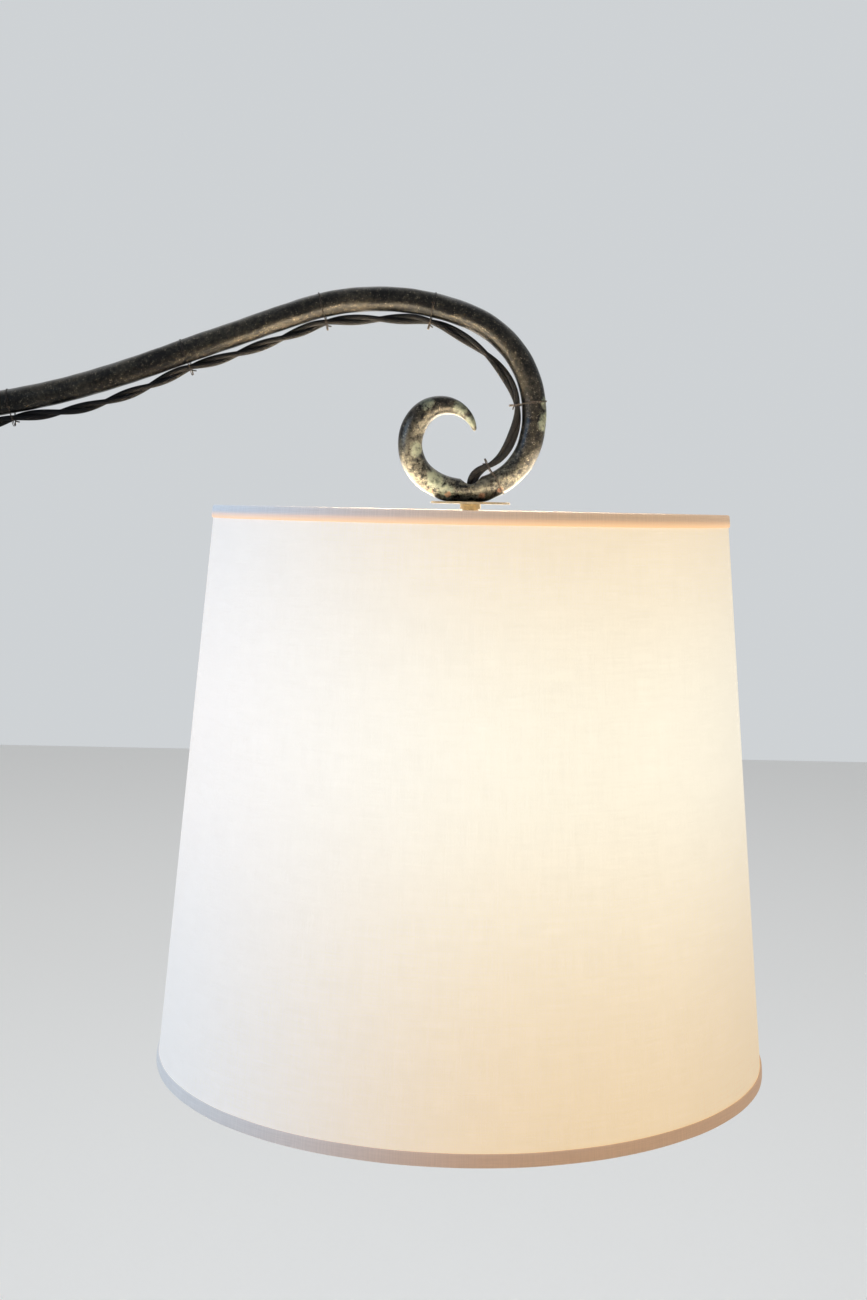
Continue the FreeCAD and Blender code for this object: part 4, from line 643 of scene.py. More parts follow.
@dataclass
class ForgedArm:
    """The round bar of the arm: a rise, a ramp, a crest and a scroll that ends in a point."""

    start: tuple[float, float] = (11.0, 1377.8)
    neck: float = 4.0
    rise: tuple[float, float] = (494.0, 20.0)
    ramp: float = 100.0
    arcs: tuple[tuple[float, float], ...] = (
        (142.6, 41.0), (59.7, 83.5), (39.1, 107.0), (24.7, 99.0), (18.2, 127.5))
    radius: float = 7.15
    tip_radius: float = 1.15
    taper: float = 44.0
    seat: float = 1334.66
    hole_x: float = 380.05
    mouth: float = 5.0
    filed: float = 3.4
    last_turn: float = 420.0
    round_end: float = 1.2

    def centreline(self, stations: np.ndarray) -> tuple[np.ndarray, np.ndarray]:
        """Points and headings at stations along the bar, run by run.

        On an arc of radius R the point moves by R (sin h - sin h0, cos h0 - cos h), h being the heading.

        Args:
            stations: distances from the bar's start, in millimetres.

        Returns:
            The (x, z) points and the headings in radians.
        """
        runs = [(self.neck, 0.0), (self.rise[0] * math.radians(self.rise[1]), 1.0 / self.rise[0]),
                (self.ramp, 0.0)]
        runs += [(radius * math.radians(turn), -1.0 / radius) for radius, turn in self.arcs]
        begins = np.concatenate([[0.0], np.cumsum([length for length, _ in runs])])
        points = np.zeros((len(stations), 2))
        headings = np.zeros(len(stations))
        x, z, heading = self.start[0], self.start[1], 0.0
        for (length, bend), begin, end in zip(runs, begins, begins[1:]):
            inside = (stations >= begin) & ((stations < end) | (end == begins[-1]))
            along = np.append(stations[inside] - begin, length)
            if bend:
                turned = heading + bend * along
                moved = np.stack([np.sin(turned) - math.sin(heading),
                                  math.cos(heading) - np.cos(turned)], 1) / bend
            else:
                turned = np.full(len(along), heading)
                moved = along[:, None] * np.array([[math.cos(heading), math.sin(heading)]])
            points[inside] = moved[:-1] + (x, z)
            headings[inside] = turned[:-1]
            x, z, heading = x + moved[-1, 0], z + moved[-1, 1], turned[-1]
        return points, headings

    @property
    def length(self) -> float:
        """Return the bar's length."""
        turned = sum(radius * math.radians(turn) for radius, turn in (self.rise, *self.arcs))
        return self.neck + self.ramp + turned

    def widths(self, stations: np.ndarray) -> np.ndarray:
        """The bar's radius: full, then drawn out so that the last stretch narrows to the tip."""
        share = np.clip((self.length - stations) / self.taper, 0.0, 1.0)
        return self.tip_radius + (self.radius - self.tip_radius) * (1.0 - (1.0 - share) ** 1.5)

    def surface(self) -> Patch:
        """The bar's skin: rings round the centreline, the hammer's flats, a filed foot and the cord's hole.

        Near the seat a height h above it becomes h' = k (2 t^2 - t^3) with t = h / k, flat at the seat.
        """
        stations = np.linspace(0.0, self.length, 1100)
        points, headings = self.centreline(stations)
        across = np.array([0.0, 1.0, 0.0])
        up = np.stack([-np.sin(headings), np.zeros_like(headings), np.cos(headings)], 1)
        s, a = stations[:, None], bearings(48)[None, :]
        flats = 0.10 * np.sin(5.0 * a + 0.011 * s) * np.sin(0.13 * s + 1.3 * np.sin(0.021 * s))
        flats = flats + 0.07 * np.sin(3.0 * a - 0.05 * s + 1.0) + 0.05 * np.sin(0.41 * s + 2.0 * a)
        width = self.widths(stations)[:, None]
        ring = width + flats * np.clip(width / self.radius, 0.3, 1.0) - 0.08
        core = np.stack([points[:, 0], np.zeros(len(stations)), points[:, 1]], 1)[:, None, :]
        skin = core + ring[..., None] * (np.cos(a)[..., None] * up[:, None, :]
                                         + np.sin(a)[..., None] * across)
        end = np.clip((stations - self.length + self.round_end) / self.round_end, 0.0, 1.0)[:, None, None]
        skin = core + (skin - core) * np.sqrt(np.clip(1.0 - end ** 2, 0.02, 1.0))
        bottom = (stations > self.last_turn) & (skin[:, :, 2].mean(axis=1) < self.seat + 22.0)
        rise = skin[..., 2] - self.seat
        t = np.clip(rise / self.filed, 0.0, 1.0)
        foot = np.where(rise < self.filed, self.filed * (2.0 * t ** 2 - t ** 3), rise)
        skin[..., 2] = np.where(bottom[:, None], self.seat + foot, skin[..., 2])
        from_hole = np.hypot(skin[..., 0] - self.hole_x, skin[..., 1])
        dimple = np.clip((self.mouth + 1.2 - from_hole) / 2.6, 0.0, 1.0)
        upper = bottom[:, None] & (skin[..., 2] > self.seat + 7.0)
        skin[..., 2] -= np.where(upper, 5.0 * dimple ** 2 * (3.0 - 2.0 * dimple), 0.0)
        return Patch(skin * MM, stations * MM, np.linspace(0.0, 1.0, 49), caps=True)

    def build(self) -> None:
        """Make the bar and let it stand for its CAD solid."""
        finish = PatinatedIron(
            name="arm_patina",
            green_spots=(((0.4222, -0.003, 1.3815), 0.013), ((0.4205, -0.002, 1.3925), 0.009),
                         ((0.3590, -0.005, 1.3470), 0.012), ((0.3660, -0.006, 1.3400), 0.010),
                         ((0.3480, -0.005, 1.3640), 0.010), ((0.3535, -0.005, 1.3910), 0.009),
                         ((0.3735, -0.004, 1.3895), 0.010), ((0.3795, -0.002, 1.3810), 0.008)),
            rust_spots=(((0.3668, -0.006, 1.3385), 0.0045), ((0.3867, -0.006, 1.3380), 0.0045),
                        ((0.3970, -0.006, 1.3415), 0.004), ((0.3563, -0.005, 1.3400), 0.004)),
            # the greyer patch at the scroll's foot above the shade: wear, and the shade's glow painted on
            worn_and_glow_centre=(0.372, -0.004, 1.346), worn_and_glow_reach=0.05,
        )
        bar = make_piece("forged_bar", [self.surface()], finish.material())
        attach(bar, "arm")
        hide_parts("arm_bar")
        log.info("forged bar: %.0f mm long", self.length)


# ---- cords


@dataclass
class TwistedPair:
    """Two cloth-covered strands laid round each other along a route."""

    cloth: bpy.types.Material
    strand: float = 3.05
    lay: float = 55.0
    spacing: float = 1.4

    def strands(self, line: np.ndarray, side: Point, phase: "float | np.ndarray" = 0.0,
                columns: int = 12, settle: "np.ndarray | float" = 0.0) -> list[Patch]:
        """Both strands: each centre is half a strand from the line, at an angle that grows along it.

        Args:
            line: the pair's middle line, in metres.
            side: a direction that the line never follows.
            phase: the angle at the start, or one for each point instead of the even lay.
            columns: how many faces each strand has around it.
            settle: how far the pair moves along its second direction at each point, in millimetres.

        Returns:
            Two tubes.
        """
        first, second = frame_along(line, side)
        even = TURN * lengths_along(line) / (self.lay * MM)
        angle = even + phase if np.isscalar(phase) else phase
        found = []
        line = line + np.broadcast_to(np.asarray(settle) * MM, len(line))[:, None] * second
        for half in (0.0, np.pi):
            away = np.cos(angle + half)[:, None] * first + np.sin(angle + half)[:, None] * second
            found.append(tube(line + away * self.strand * MM / 2, self.strand * MM / 2, side, columns))
        return found

    def dress(self, name: str, line: np.ndarray, side: Point, phase: "float | np.ndarray" = 0.0,
              columns: int = 12, settle: "np.ndarray | float" = 0.0) -> bpy.types.Object:
        """Make a pair as one piece."""
        piece = make_piece(name, self.strands(line, side, phase, columns, settle), self.cloth)
        log.info("%s: %.0f mm of twisted pair", name, lengths_along(line)[-1] / MM)
        return piece


# The routes' points, in millimetres, as in the part's source.
ARM_ROUTE = [
    (100.0, 0, 1373.0), (116.5, 0, 1377.6), (138.0, 0, 1381.2), (160.8, 0, 1386.0), (186.9, 0, 1395.4),
    (205.0, 0, 1403.4), (217.9, 0, 1408.4), (238.0, 0, 1415.5), (257.4, 0, 1422.4), (276.0, 0, 1429.4),
    (295.7, 0, 1435.8), (317.0, 0, 1438.7), (339.9, 0, 1439.1), (354.5, 0, 1436.9), (367.0, 0, 1433.0),
    (382.0, 0, 1424.5), (393.5, 0, 1414.8), (401.3, 0, 1403.6), (404.9, 0, 1391.7), (405.1, 0, 1380.0),
    (402.2, 0, 1369.4), (397.0, 0, 1361.8), (391.0, 0, 1357.6), (384.9, 0, 1354.8), (380.6, 0, 1349.4),
    (380.05, 0, 1341.0), (380.05, 0, 1310.6),
]
SWIVEL_ROUTE = [
    (0, 12.9, 1195), (0, 12.9, 1216), (3, 13.4, 1243), (11, 13.0, 1271), (24, 11.0, 1299),
    (41, 7.6, 1325), (60, 3.6, 1348), (82.0, 0, 1367.98), (100.0, 0, 1373.0),
]
UPRIGHT_ROUTE = [
    (0, 12.9, 1195), (0, 12.9, 1175), (0, 12.9, 130), (0, 12.9, 112), (0, 23.5, 84), (0, 34, 60),
    (0, 34, 27.3), (0, 40.7, 15.7), (0, 52.3, 9), (0, 70, 9), (0, 173, 9),
]
FLOOR_ROUTE = [
    (0, 173, 9), (0, 186, 9), (2, 204, 5.4), (2, 225, 4.0), (-10, 245, 4.0), (-31, 256.4, 4.0),
    (-53.8, 256.4, 4.0),
]
END_ROUTE = [
    (-66.2, 256.4, 10.7), (-80, 256.4, 10.7), (-97, 252.5, 6.6), (-112.5, 244, 3.4),
    (-124, 230, 5.2), (-130, 213, 12), (-130, 196, 12),
]


@dataclass
class LampCord:
    """The cord: tied under the arm, slack at the swivel, down the upright and coiled behind the base."""

    diameter: float = 6.2
    coil_centre: tuple[float, float] = (-60.0, 208.0)
    coil_radius: float = 35.0
    coil_turns: int = 8
    coil_pitch: float = 6.7
    coil_height: float = 4.0
    tie_spots: tuple[tuple[float, float], ...] = ()
    half_turns: tuple[float, ...] = (0.0, 4.0, 7.0, 9.0, 11.0, 12.0)
    half_lay: float = 27.5
    hug: float = 1.35
    hug_reach: float = 14.0

    def coil_route(self) -> list[Point]:
        """Control points of the coil, in on the lower layer and out on the upper, by the part's own formula.

        They stand a little outside the line that they steer, by 1 / cos of half their spacing.
        """
        per_turn = 16
        angle = np.linspace(0.0, TURN * self.coil_turns, per_turn * self.coil_turns + 1)
        half = np.pi * self.coil_turns
        layers = np.abs(angle - half) / TURN - self.coil_turns / 4.0
        radius = (self.coil_radius + self.coil_pitch * layers) / math.cos(math.pi / per_turn)
        climb = np.clip((angle - half) / np.pi + 0.5, 0.0, 1.0)
        height = self.coil_height + self.coil_pitch * (1.0 - np.cos(np.pi * climb)) / 2.0
        x = self.coil_centre[0] + radius * np.cos(np.pi / 2.0 + angle)
        y = self.coil_centre[1] + radius * np.sin(np.pi / 2.0 + angle)
        return np.stack([x, y, height], 1).tolist()

    def arm_twist(self, line: np.ndarray) -> tuple[np.ndarray, np.ndarray]:
        """The twist under the arm: side by side at each tie, where the wire draws the strands to the bar.

        Between two ties the angle grows evenly by their count of half turns.

        Args:
            line: the cord's middle line, in metres.

        Returns:
            The angle and the draw towards the bar, in millimetres, at each point.
        """
        along = lengths_along(line) / MM
        spots = np.array(self.tie_spots)
        away = np.hypot(line[:, 0][None, :] / MM - spots[:, :1], line[:, 2][None, :] / MM - spots[:, 1:])
        marks = along[np.argmin(away, axis=1)]
        beyond = 10
        stations = [marks[0] - beyond * self.half_lay, *marks, marks[-1] + beyond * self.half_lay]
        counts = [self.half_turns[0] - beyond, *self.half_turns, self.half_turns[-1] + beyond]
        bells = np.exp(-(((along[None, :] - marks[:, None]) / self.hug_reach) ** 2)).sum(axis=0)
        return np.pi * np.interp(along, stations, counts), self.hug * np.minimum(bells, 1.0)

    def build(self) -> None:
        pair = TwistedPair(BraidedCloth().material())
        arm_line = evenly(route_line("arm_route", ARM_ROUTE), pair.spacing * MM)
        phase, draw = self.arm_twist(arm_line)
        arm_cord = pair.dress("arm_pair", arm_line, (0, 1, 0), phase, 16, draw)
        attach(arm_cord, "arm")
        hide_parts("arm_cord")

        swivel_line = evenly(route_line("swivel_route", SWIVEL_ROUTE), 2.0 * MM)
        swivel_cord = pair.dress("swivel_pair", swivel_line, (0, 1, 0))
        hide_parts("swivel_cord")
        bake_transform(swivel_cord)

        upright_line = evenly(route_line("upright_route", UPRIGHT_ROUTE), 2.5 * MM)
        upright_cord = pair.dress("upright_pair", upright_line, (1, 0, 0), columns=10)
        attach(upright_cord, "stand")
        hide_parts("upright_cord")

        free_line = evenly(route_line("free_route", FLOOR_ROUTE + self.coil_route() + END_ROUTE), 2.2 * MM)
        free_cord = pair.dress("free_pair", free_line, (0, 0, 1), columns=10)
        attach(free_cord, "stand")
        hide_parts("floor_cord", "cord_coil", "cord_end")


@dataclass
class WireTies:
    """Fine wire wound twice round a bar and the cord, its ends twisted together below."""

    wire: bpy.types.Material
    gauge: float = 0.45
    turns: float = 2.0
    step: float = 0.9
    tail: float = 1.8
    tail_turns: float = 3.2

    def tie(self, bar: np.ndarray, bar_radius: float, cord: np.ndarray, cord_radius: float,
            way: np.ndarray) -> list[Patch]:
        """One tie: the outline that two circles share, followed with a small advance, and a twisted tail.

        The outline's straight parts leave the circles at the angle whose cosine is (R - r) / distance.

        Args:
            bar: the bar's middle, in millimetres.
            bar_radius: the bar's radius.
            cord: the cord's middle.
            cord_radius: the cord's radius.
            way: the bar's direction there.

        Returns:
            The wound wire and the tail's two strands.
        """
        wire_radius = self.gauge / 2
        big, small = bar_radius + wire_radius, cord_radius + wire_radius
        out = cord - bar
        distance = float(np.linalg.norm(out))
        out = out / distance
        side = np.cross(way, out)
        lift = math.acos((big - small) / distance)
        around_bar = np.linspace(lift, TURN - lift, 26)
        around_cord = np.linspace(-lift, lift, 16)
        flat = np.concatenate([
            np.stack([big * np.cos(around_bar), big * np.sin(around_bar)], 1),
            np.stack([distance + small * np.cos(around_cord), small * np.sin(around_cord)], 1),
        ])
        closed = np.vstack([flat, flat[:1]])
        loop = evenly(np.column_stack([closed, np.zeros(len(closed))]), self.step)[:-1, :2]
        index = np.arange(int(len(loop) * self.turns))
        swing = 0.22 * np.sin(index * 0.37) + (index / len(loop) - self.turns / 2) * self.gauge * 1.15
        path = (bar + loop[index % len(loop), :1] * out + loop[index % len(loop), 1:] * side
                + swing[:, None] * way)
        wound = tube(path * MM, wire_radius * MM, tuple(way), 6)
        # the tail: two strands wound round a short line that leaves the loop sideways
        root = bar + out * distance + side * (small + wire_radius * 0.6)
        share = np.linspace(0.0, 1.0, 22)[:, None]
        droop = out * 0.55 + side * 0.35 + way * 0.5
        middle = root + share * self.tail * droop / np.linalg.norm(droop) + share ** 2 * way * 1.2
        first, second = frame_along(middle, tuple(side))
        strands = []
        for half in (0.0, np.pi):
            angle = share * 2.0 * np.pi * self.tail_turns + half
            away = np.cos(angle) * first + np.sin(angle) * second
            strands.append(tube((middle + wire_radius * 0.95 * away) * MM, wire_radius * MM, tuple(side), 6))
        return [wound, *strands]


@dataclass
class Ties:
    """All the ties of the lamp."""

    arm: ForgedArm
    arm_stations: tuple[float, ...] = (101.0, 207.0, 291.0, 356.0, 443.0, 497.0)
    upright_heights: tuple[float, ...] = (1180.0, 974.0, 768.0, 562.0, 356.0, 150.0)
    upright_radius: float = 9.5
    cord_radius: float = 3.1

    def spots(self) -> tuple[tuple[float, float], ...]:
        """Where the arm's ties stand, as (x, z) in millimetres."""
        centres, _ = self.arm.centreline(np.array(self.arm_stations))
        return tuple((float(x), float(z)) for x, z in centres)

    def build(self) -> None:
        """Make the ties of the arm and of the upright."""
        wire = Smooth("tie_wire", (0.018, 0.015, 0.014), (0.06, 0.046, 0.034), 0.45, 0.7).material()
        maker = WireTies(wire)
        route = route_line("tie_route", ARM_ROUTE) / MM
        centres, headings = self.arm.centreline(np.array(self.arm_stations))
        patches = []
        for (x, z), heading in zip(centres, headings):
            way = np.array([math.cos(heading), 0.0, math.sin(heading)])
            bar = np.array([x, 0.0, z])
            offset = route - bar
            near = np.linalg.norm(offset, axis=1) < 22.0
            close = route[near][np.argmin(np.abs(offset[near] @ way))]
            close = close - way * ((close - bar) @ way)
            patches += maker.tie(bar, self.arm.radius, close, self.cord_radius, way)
        arm_ties = make_piece("arm_wire_ties", patches, wire)
        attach(arm_ties, "arm")
        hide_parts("arm_ties")
        patches = []
        for height in self.upright_heights:
            patches += maker.tie(np.array([0.0, 0.0, height]), self.upright_radius,
                                 np.array([0.0, 12.9, height]), self.cord_radius, np.array([0.0, 0.0, 1.0]))
        upright_ties = make_piece("upright_wire_ties", patches, wire)
        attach(upright_ties, "stand")
        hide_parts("upright_ties")
        log.info("%d ties", len(self.arm_stations) + len(self.upright_heights))


# ---- the shade


@dataclass
class LinenShade:
    """A hardback linen shade with folded tape round both edges."""

    axis_x: float = 380.05
    rim: float = 1329.98
    top_radius: float = 148.0
    bottom_radius: float = 178.0
    height: float = 324.0
    tape_width: float = 7.0
    tape_thickness: float = 0.75
    bulb_height: float = 1213.0
    lap_height: float = 0.35
    columns: int = 288
    waves: tuple[tuple[float, float, float], ...] = (
        (0.16, 3.0, 0.4), (0.10, 7.0, 2.1), (0.06, 19.0, 0.9), (0.04, 31.0, 4.0))

    @property
    def bulb(self) -> Point:
        """Where the bulb's middle is, in metres."""
        return (self.axis_x * MM, 0.0, self.bulb_height * MM)

    def wave(self, gain: float = 1.0, shift: float = 0.0) -> np.ndarray:
        """The shade's slight waviness: a sum of cosines of the angle round it, in millimetres."""
        angle = bearings(self.columns)
        parts = [size * np.cos(count * angle + phase + shift) for size, count, phase in self.waves]
        return gain * np.sum(parts, axis=0)

    def cone(self, drop: "float | np.ndarray") -> "float | np.ndarray":
        """The wall's outer radius at a drop below the rim."""
        return self.top_radius + (self.bottom_radius - self.top_radius) * drop / self.height

    def panel(self) -> None:
        """The linen: a cone with a lapped seam at the back, given its thickness by a modifier."""
        drops = np.linspace(0.9, self.height - 0.9, 48)
        angle = bearings(self.columns)
        lap = np.clip(2.4 - np.abs(angle - np.pi / 2.0) / (TURN / self.columns), 0.0, 1.0)
        radius = self.cone(drops)[:, None] + (self.wave() + self.lap_height * lap)[None, :] - 0.1
        points = np.stack([self.axis_x + radius * np.cos(angle), radius * np.sin(angle),
                           self.rim - drops[:, None] + 0.0 * radius], -1)
        # the last four colours are painted light: the bulb's warm glow high and low, and cool daylight on the
        # left high and low
        cloth = Linen("shade_linen_cloth", Cloth.PANEL, (0.66, 0.645, 0.62), (0.80, 0.715, 0.535),
                      (0.57, 0.325, 0.065), (0.68, 0.61, 0.54), (0.42, 0.415, 0.40), self.bulb)
        mean = TURN * (self.top_radius + self.bottom_radius) / 2
        patch = Patch(points[:, ::-1] * MM, drops * MM, np.linspace(0.0, mean * MM, self.columns + 1))
        piece = make_piece("linen_panel", [patch], cloth.material())
        shell = piece.modifiers.new("thickness", "SOLIDIFY")
        shell.thickness = 0.35 * MM
        shell.offset = -1.0
        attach(piece, "shade")
        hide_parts("shade_linen")

    def tape(self, name: str, node: str, fold_drop: float, way: float, colours: tuple[Colour, ...]) -> None:
        """A tape folded over an edge of the shade: a soft outer leg, a round fold and a short inner leg.

        Args:
            name: the piece's name.
            node: the CAD node that it stands for.
            fold_drop: how far below the rim the fold lies.
            way: 1 where the legs hang down from the fold, -1 where they stand up.
            colours: the tape's own colour, and its painted light: two warm ones for the bulb's light through
                it and two cool ones for daylight from the left.
        """
        thick = self.tape_thickness
        leg = self.tape_width
        # the profile: (out from the wall, along the leg from the fold), round the whole section
        outer = [(0.05, leg), (0.35, leg + 0.1), (0.72, leg - 0.3), (0.86, leg - 1.2), (0.90, leg * 0.6),
                 (0.88, leg * 0.3), (0.78, 0.7), (0.45, 0.15)]
        fold = [(-0.4, 0.0), (-1.6, 0.0), (-3.2, 0.05), (-4.6, 0.1), (-5.2, 0.4)]
        inner = [(-5.3, 1.2), (-5.3, 2.8), (-5.0, 3.0), (-4.7, 2.8), (-4.6, 1.2)]
        under = [(-4.2, thick), (-1.4, thick), (-0.2, thick + 0.1), (0.05, 1.6), (0.06, leg * 0.5)]
        profile = np.array(outer + fold + inner + under)
        drops = fold_drop + way * profile[:, 1]
        section = np.stack([self.cone(drops) + profile[:, 0], -drops], 1)
        ripple = self.wave(1.0) + self.wave(0.8, 1.7) * 0.5
        patch = spun(section * MM, (self.axis_x * MM, 0.0, self.rim * MM), ripple * MM)
        lift = 0.12 * self.wave(2.2, 0.9 * way) * MM
        patch.points[..., 2] += lift[None, :]
        cloth = Linen(name + "_cloth", Cloth.TAPE, *colours, self.bulb, edge_glow=0.8 if way > 0 else 0.0)
        piece = make_piece(name, [patch], cloth.material())
        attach(piece, "shade")
        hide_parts(node)

    def build(self) -> None:
        """Make the panel and both tapes."""
        self.panel()
        # each tape's last four colours are painted light: the bulb's warm light through it and cool daylight
        # from the left
        self.tape("top_tape", "top_trim", 0.0, 1.0,
                  ((0.48, 0.46, 0.44), (0.46, 0.24, 0.075), (0.36, 0.20, 0.08),
                   (0.34, 0.41, 0.50), (0.28, 0.35, 0.43)))
        self.tape("bottom_tape", "bottom_trim", self.height, -1.0,
                  ((0.44, 0.42, 0.39), (0.36, 0.155, 0.03), (0.28, 0.12, 0.025),
                   (0.38, 0.40, 0.44), (0.31, 0.33, 0.36)))
        log.info("shade of %.0f by %.0f mm", 2 * self.bottom_radius, self.height)


# ---- the felt


@dataclass
class FeltPad:
    """The felt under the base."""

    radius: float = 143.0
    thickness: float = 3.0

    def build(self) -> None:
        """Make the disc, with soft edges."""
        felt = Smooth("pressed_felt", (0.020, 0.024, 0.021), (0.045, 0.05, 0.044), 0.95, 0.0, 1600.0, 0.0006)
        radius, thick = self.radius, self.thickness
        profile = np.array([(0.01, 0.0), (radius * 0.5, 0.0), (radius - 0.8, 0.0), (radius - 0.1, 0.6),
                            (radius, 1.5), (radius - 0.1, thick - 0.4), (radius - 0.6, thick),
                            (radius * 0.5, thick), (0.01, thick)])
        disc = spun(profile * MM, (0.0, 0.0, 0.0), np.zeros(128))
        pad = make_piece("felt_disc", [disc], felt.material())
        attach(pad, "stand")
        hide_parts("felt_pad")


# ---- finishes of the CAD pieces


@dataclass
class CadFinishes:
    """Which finish each piece that keeps its CAD shape gets."""

    nodes: dict

    def build(self) -> None:
        """Dress every CAD node that still shows, and let the bulb's light out of its glass."""
        for finish, names in (
            (PatinatedIron(name="stand_patina"),
             ("upright", "arm_hub", "rest_collar", "finial", "thumbscrew", "base_collar")),
            (CastSkin(), ("base_casting", "base_weight")),
            # painted shade: brass darkened far below its own colour, to offset the lining's glow on the nut,
            # nipple and disc
            (Brass("shaded_nut_brass", (0.075, 0.056, 0.03), (0.075, 0.053, 0.028), 0.8, 0.42),
             ("nipple_nut", "nipple")),
            (Brass("shaded_disc_brass", (0.08, 0.068, 0.05), (0.08, 0.06, 0.04), 0.85, 0.45), ("shade_disc",)),
            (Brass("nut_brass", (0.80, 0.60, 0.30), (0.42, 0.30, 0.15)),
             ("fitter_nut", "swivel_washer", "brake_pad", "screw_shell",
              "centre_contact", "terminal_screws", "switch_stem", "plug_blades")),
            (Brass("dull_brass", (0.66, 0.60, 0.48), (0.34, 0.28, 0.20), 0.7, 0.34),
             ("socket_cap", "socket_shell", "top_washer")),
            (Brass("steel", (0.52, 0.52, 0.53), (0.30, 0.29, 0.28)),
             ("base_cover", "base_screws", "foot_washer", "foot_nut", "grub_screw", "fitter_washer",
              "bulb_filament", "bulb_cap", "bulb_pin")),
            (Smooth("rubber", (0.016, 0.016, 0.016), (0.03, 0.03, 0.03), 0.62, 0.0, 1200.0),
             ("cord_bush", "strain_relief", "coil_tie")),
            (Smooth("plug_moulding", (0.02, 0.02, 0.02), (0.034, 0.033, 0.032), 0.38, 0.0, 1500.0),
             ("plug_body",)),
            (Smooth("phenolic", (0.035, 0.02, 0.013), (0.06, 0.036, 0.022), 0.28, 0.0, 700.0),
             ("switch_knob", "socket_block", "lead_wires")),
            (Smooth("paper_liner", (0.28, 0.19, 0.11), (0.36, 0.25, 0.15), 0.85, 0.0, 500.0),
             ("socket_liner",)),
            (Smooth("white_wire", (0.72, 0.71, 0.68), (0.80, 0.79, 0.76), 0.4, 0.0, 800.0),
             ("spider_ring", "spider_spokes", "top_ring", "bottom_ring")),
            # painted light: the lining glows as if lit by the bulb, and its glow lights the bar and the disc
            # from below
            (GlowingSkin("shade_lining", (0.84, 0.81, 0.75), (1.0, 0.89, 0.72), 6.5, 0.5),
             ("shade_backing",)),
            (GlowingSkin("bulb_frost", (0.95, 0.92, 0.86), (1.0, 0.86, 0.62), 1.1),
             ("bulb_glass", "bulb_stem")),
        ):
            material = finish.material()
            for name in names:
                for slot in self.nodes[name].material_slots:
                    slot.material = material
        for name in ("bulb_glass", "bulb_stem", "bulb_filament"):
            self.nodes[name].visible_shadow = False


# ---- studio


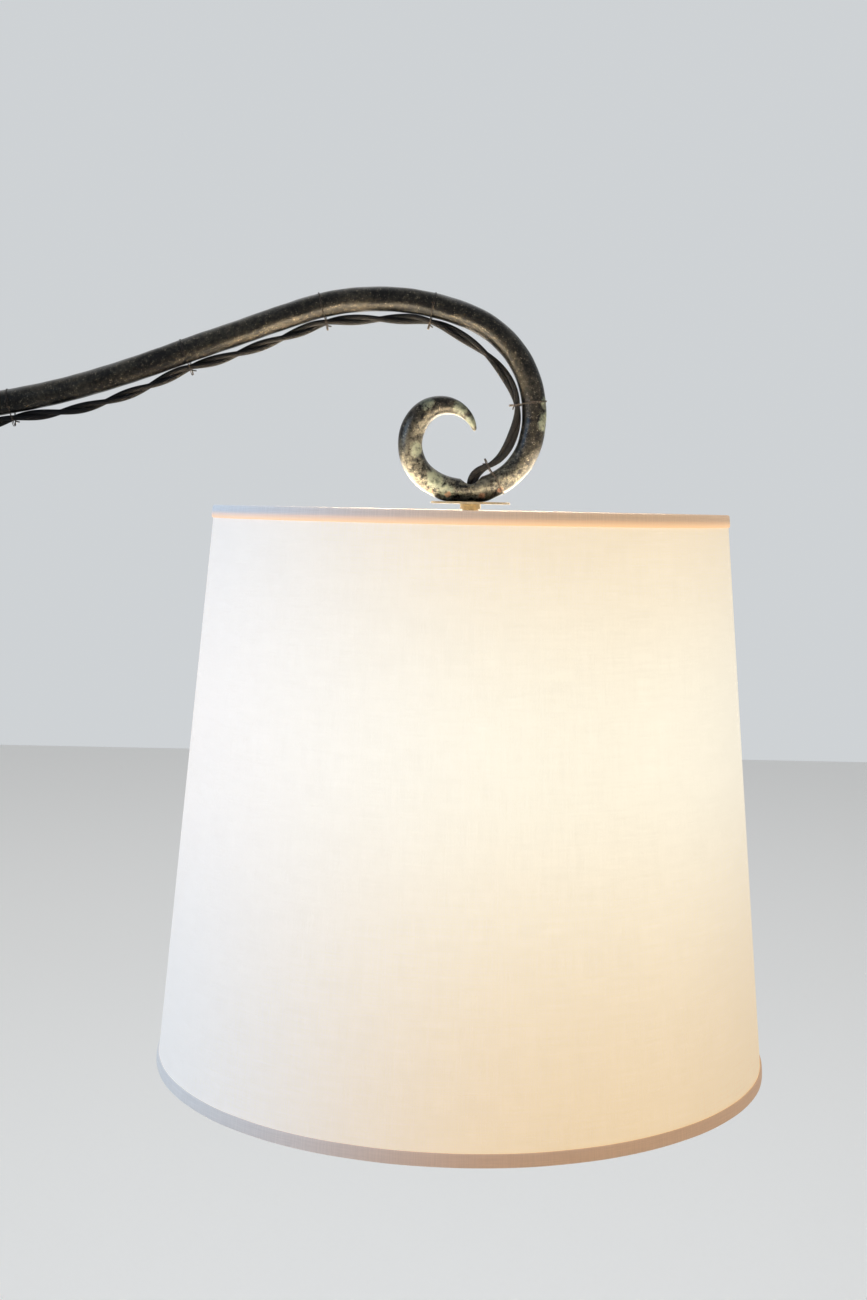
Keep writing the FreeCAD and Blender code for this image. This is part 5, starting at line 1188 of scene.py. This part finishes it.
@dataclass
class Studio:
    """A pale floor, soft light and the camera of the photograph."""

    focal: float = 1675.0
    image_height: float = 1300.0
    camera: Point = (0.36025, -0.981, 1.33158)
    pitch: float = 0.0855
    roll: float = 0.0202
    bulb: Point = (0.38005, 0.0, 1.213)
    floor_half: float = 8.0
    floor_lift: Colour = (0.22, 0.22, 0.215)

    def floor(self) -> None:
        """A large pale floor, lifted a little for the camera and for glossy rays alone."""
        half = self.floor_half
        corners = np.array([[(-half, -half, 0.0), (half, -half, 0.0)],
                            [(-half, half, 0.0), (half, half, 0.0)]])
        patch = Patch(corners, np.array([0.0, 1.0]), np.array([0.0, 1.0]), wrap_columns=False)
        desk = Desk("pale_floor")
        seen = desk.node("ShaderNodeLightPath", out="Is Camera Ray")
        mirrored = Signal(desk, seen.socket.node.outputs["Is Glossy Ray"])
        lift = desk.mix(seen + mirrored, BLACK, self.floor_lift)
        desk.set(Base_Color=(0.74, 0.74, 0.73), Roughness=0.7, Emission_Color=lift, Emission_Strength=1.0)
        make_piece("floor", [patch], desk.material)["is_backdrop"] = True

    def world(self) -> None:
        """A pale backdrop for the camera and glossy rays, and an even soft light for the rest."""
        world = bpy.data.worlds.new("studio")
        bpy.context.scene.world = world
        world.use_nodes = True
        tree = world.node_tree
        tree.nodes.clear()
        ray = tree.nodes.new("ShaderNodeLightPath")
        both = tree.nodes.new("ShaderNodeMixShader")
        for socket, colour, strength in ((2, (0.62, 0.645, 0.665, 1.0), 1.0),
                                         (1, (0.93, 0.96, 1.0, 1.0), 0.30)):
            shade = tree.nodes.new("ShaderNodeBackground")
            shade.inputs["Color"].default_value = colour
            shade.inputs["Strength"].default_value = strength
            tree.links.new(shade.outputs[0], both.inputs[socket])
        either = tree.nodes.new("ShaderNodeMath")
        either.operation = "MAXIMUM"
        tree.links.new(ray.outputs["Is Camera Ray"], either.inputs[0])
        tree.links.new(ray.outputs["Is Glossy Ray"], either.inputs[1])
        tree.links.new(either.outputs[0], both.inputs[0])
        out = tree.nodes.new("ShaderNodeOutputWorld")
        tree.links.new(both.outputs[0], out.inputs[0])

    def lamp(self, name: str, data: bpy.types.Light, place: Point, power: float,
             colour: Colour) -> bpy.types.Object:
        """Hang a lamp."""
        data.energy = power
        data.color = colour
        lamp = bpy.data.objects.new(name, data)
        bpy.context.scene.collection.objects.link(lamp)
        lamp.location = place
        return lamp

    def lights(self) -> None:
        """Cool light from the left, a weaker warm one from the right and the glowing bulb."""
        for name, place, target, size, power, colour in (
            ("window", (-2.3, -0.9, 2.0), (0.35, 0.0, 1.25), 1.4, 12.0, (0.60, 0.80, 1.0)),
            ("room", (2.2, -1.3, 1.9), (0.38, 0.0, 1.2), 1.8, 5.0, (1.0, 0.90, 0.78)),
            ("ceiling", (0.3, 2.2, 4.6), (0.3, 2.2, 0.0), 6.0, 88.0, (1.0, 1.0, 1.0)),
            ("sky", (-0.95, -0.75, 1.75), (0.37, 0.0, 1.38), 0.5, 5.5, (0.22, 0.50, 1.0)),
            ("back", (0.4, 2.4, 2.4), (0.3, 0.0, 1.0), 2.0, 5.0, (0.96, 0.98, 1.0)),
        ):
            data = bpy.data.lights.new(name, "AREA")
            data.size = size
            way = np.array(target) - np.array(place)
            self.lamp(name, data, place, power, colour).rotation_euler = (
                math.acos(way[2] * -1.0 / np.linalg.norm(way)), 0.0, math.atan2(way[1], way[0]) - math.pi / 2)
        data = bpy.data.lights.new("bulb_light", "POINT")
        data.shadow_soft_size = 0.028
        self.lamp("bulb_light", data, self.bulb, 7.7, (1.0, 0.78, 0.53))

    def look(self) -> None:
        """The camera: pitched down and rolled a little, as the photograph was taken."""
        data = bpy.data.cameras.new("view")
        data.sensor_fit = "VERTICAL"
        data.sensor_height = 36.0
        data.lens = self.focal / self.image_height * 36.0
        data.clip_start = 0.01
        data.clip_end = 50.0
        camera = bpy.data.objects.new("view", data)
        bpy.context.scene.collection.objects.link(camera)
        forward = np.array([0.0, math.cos(self.pitch), -math.sin(self.pitch)])
        up = np.array([0.0, math.sin(self.pitch), math.cos(self.pitch)])
        right = np.array([1.0, 0.0, 0.0])
        across = right * math.cos(self.roll) + up * math.sin(self.roll)
        upward = up * math.cos(self.roll) - right * math.sin(self.roll)
        turn = np.eye(4)
        turn[:3, 0], turn[:3, 1], turn[:3, 2], turn[:3, 3] = across, upward, -forward, self.camera
        camera.matrix_world = Matrix(turn.tolist())
        bpy.context.scene.camera = camera

    def build(self) -> None:
        """Set the stage."""
        self.floor()
        self.world()
        self.lights()
        self.look()
        bpy.context.scene.view_settings.view_transform = "Standard"


def main() -> None:
    """Load the frame, build each part of the lamp in order and set the stage."""
    logging.basicConfig(level=logging.INFO)
    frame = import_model()
    arm = ForgedArm()
    ties = Ties(arm)
    for part in (arm, LampCord(tie_spots=ties.spots()), ties, LinenShade(), FeltPad(),
                 CadFinishes(frame["nodes"]), Studio()):
        part.build()
        log.info("%s done", type(part).__name__)
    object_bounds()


if __name__ == "__main__":
    main()
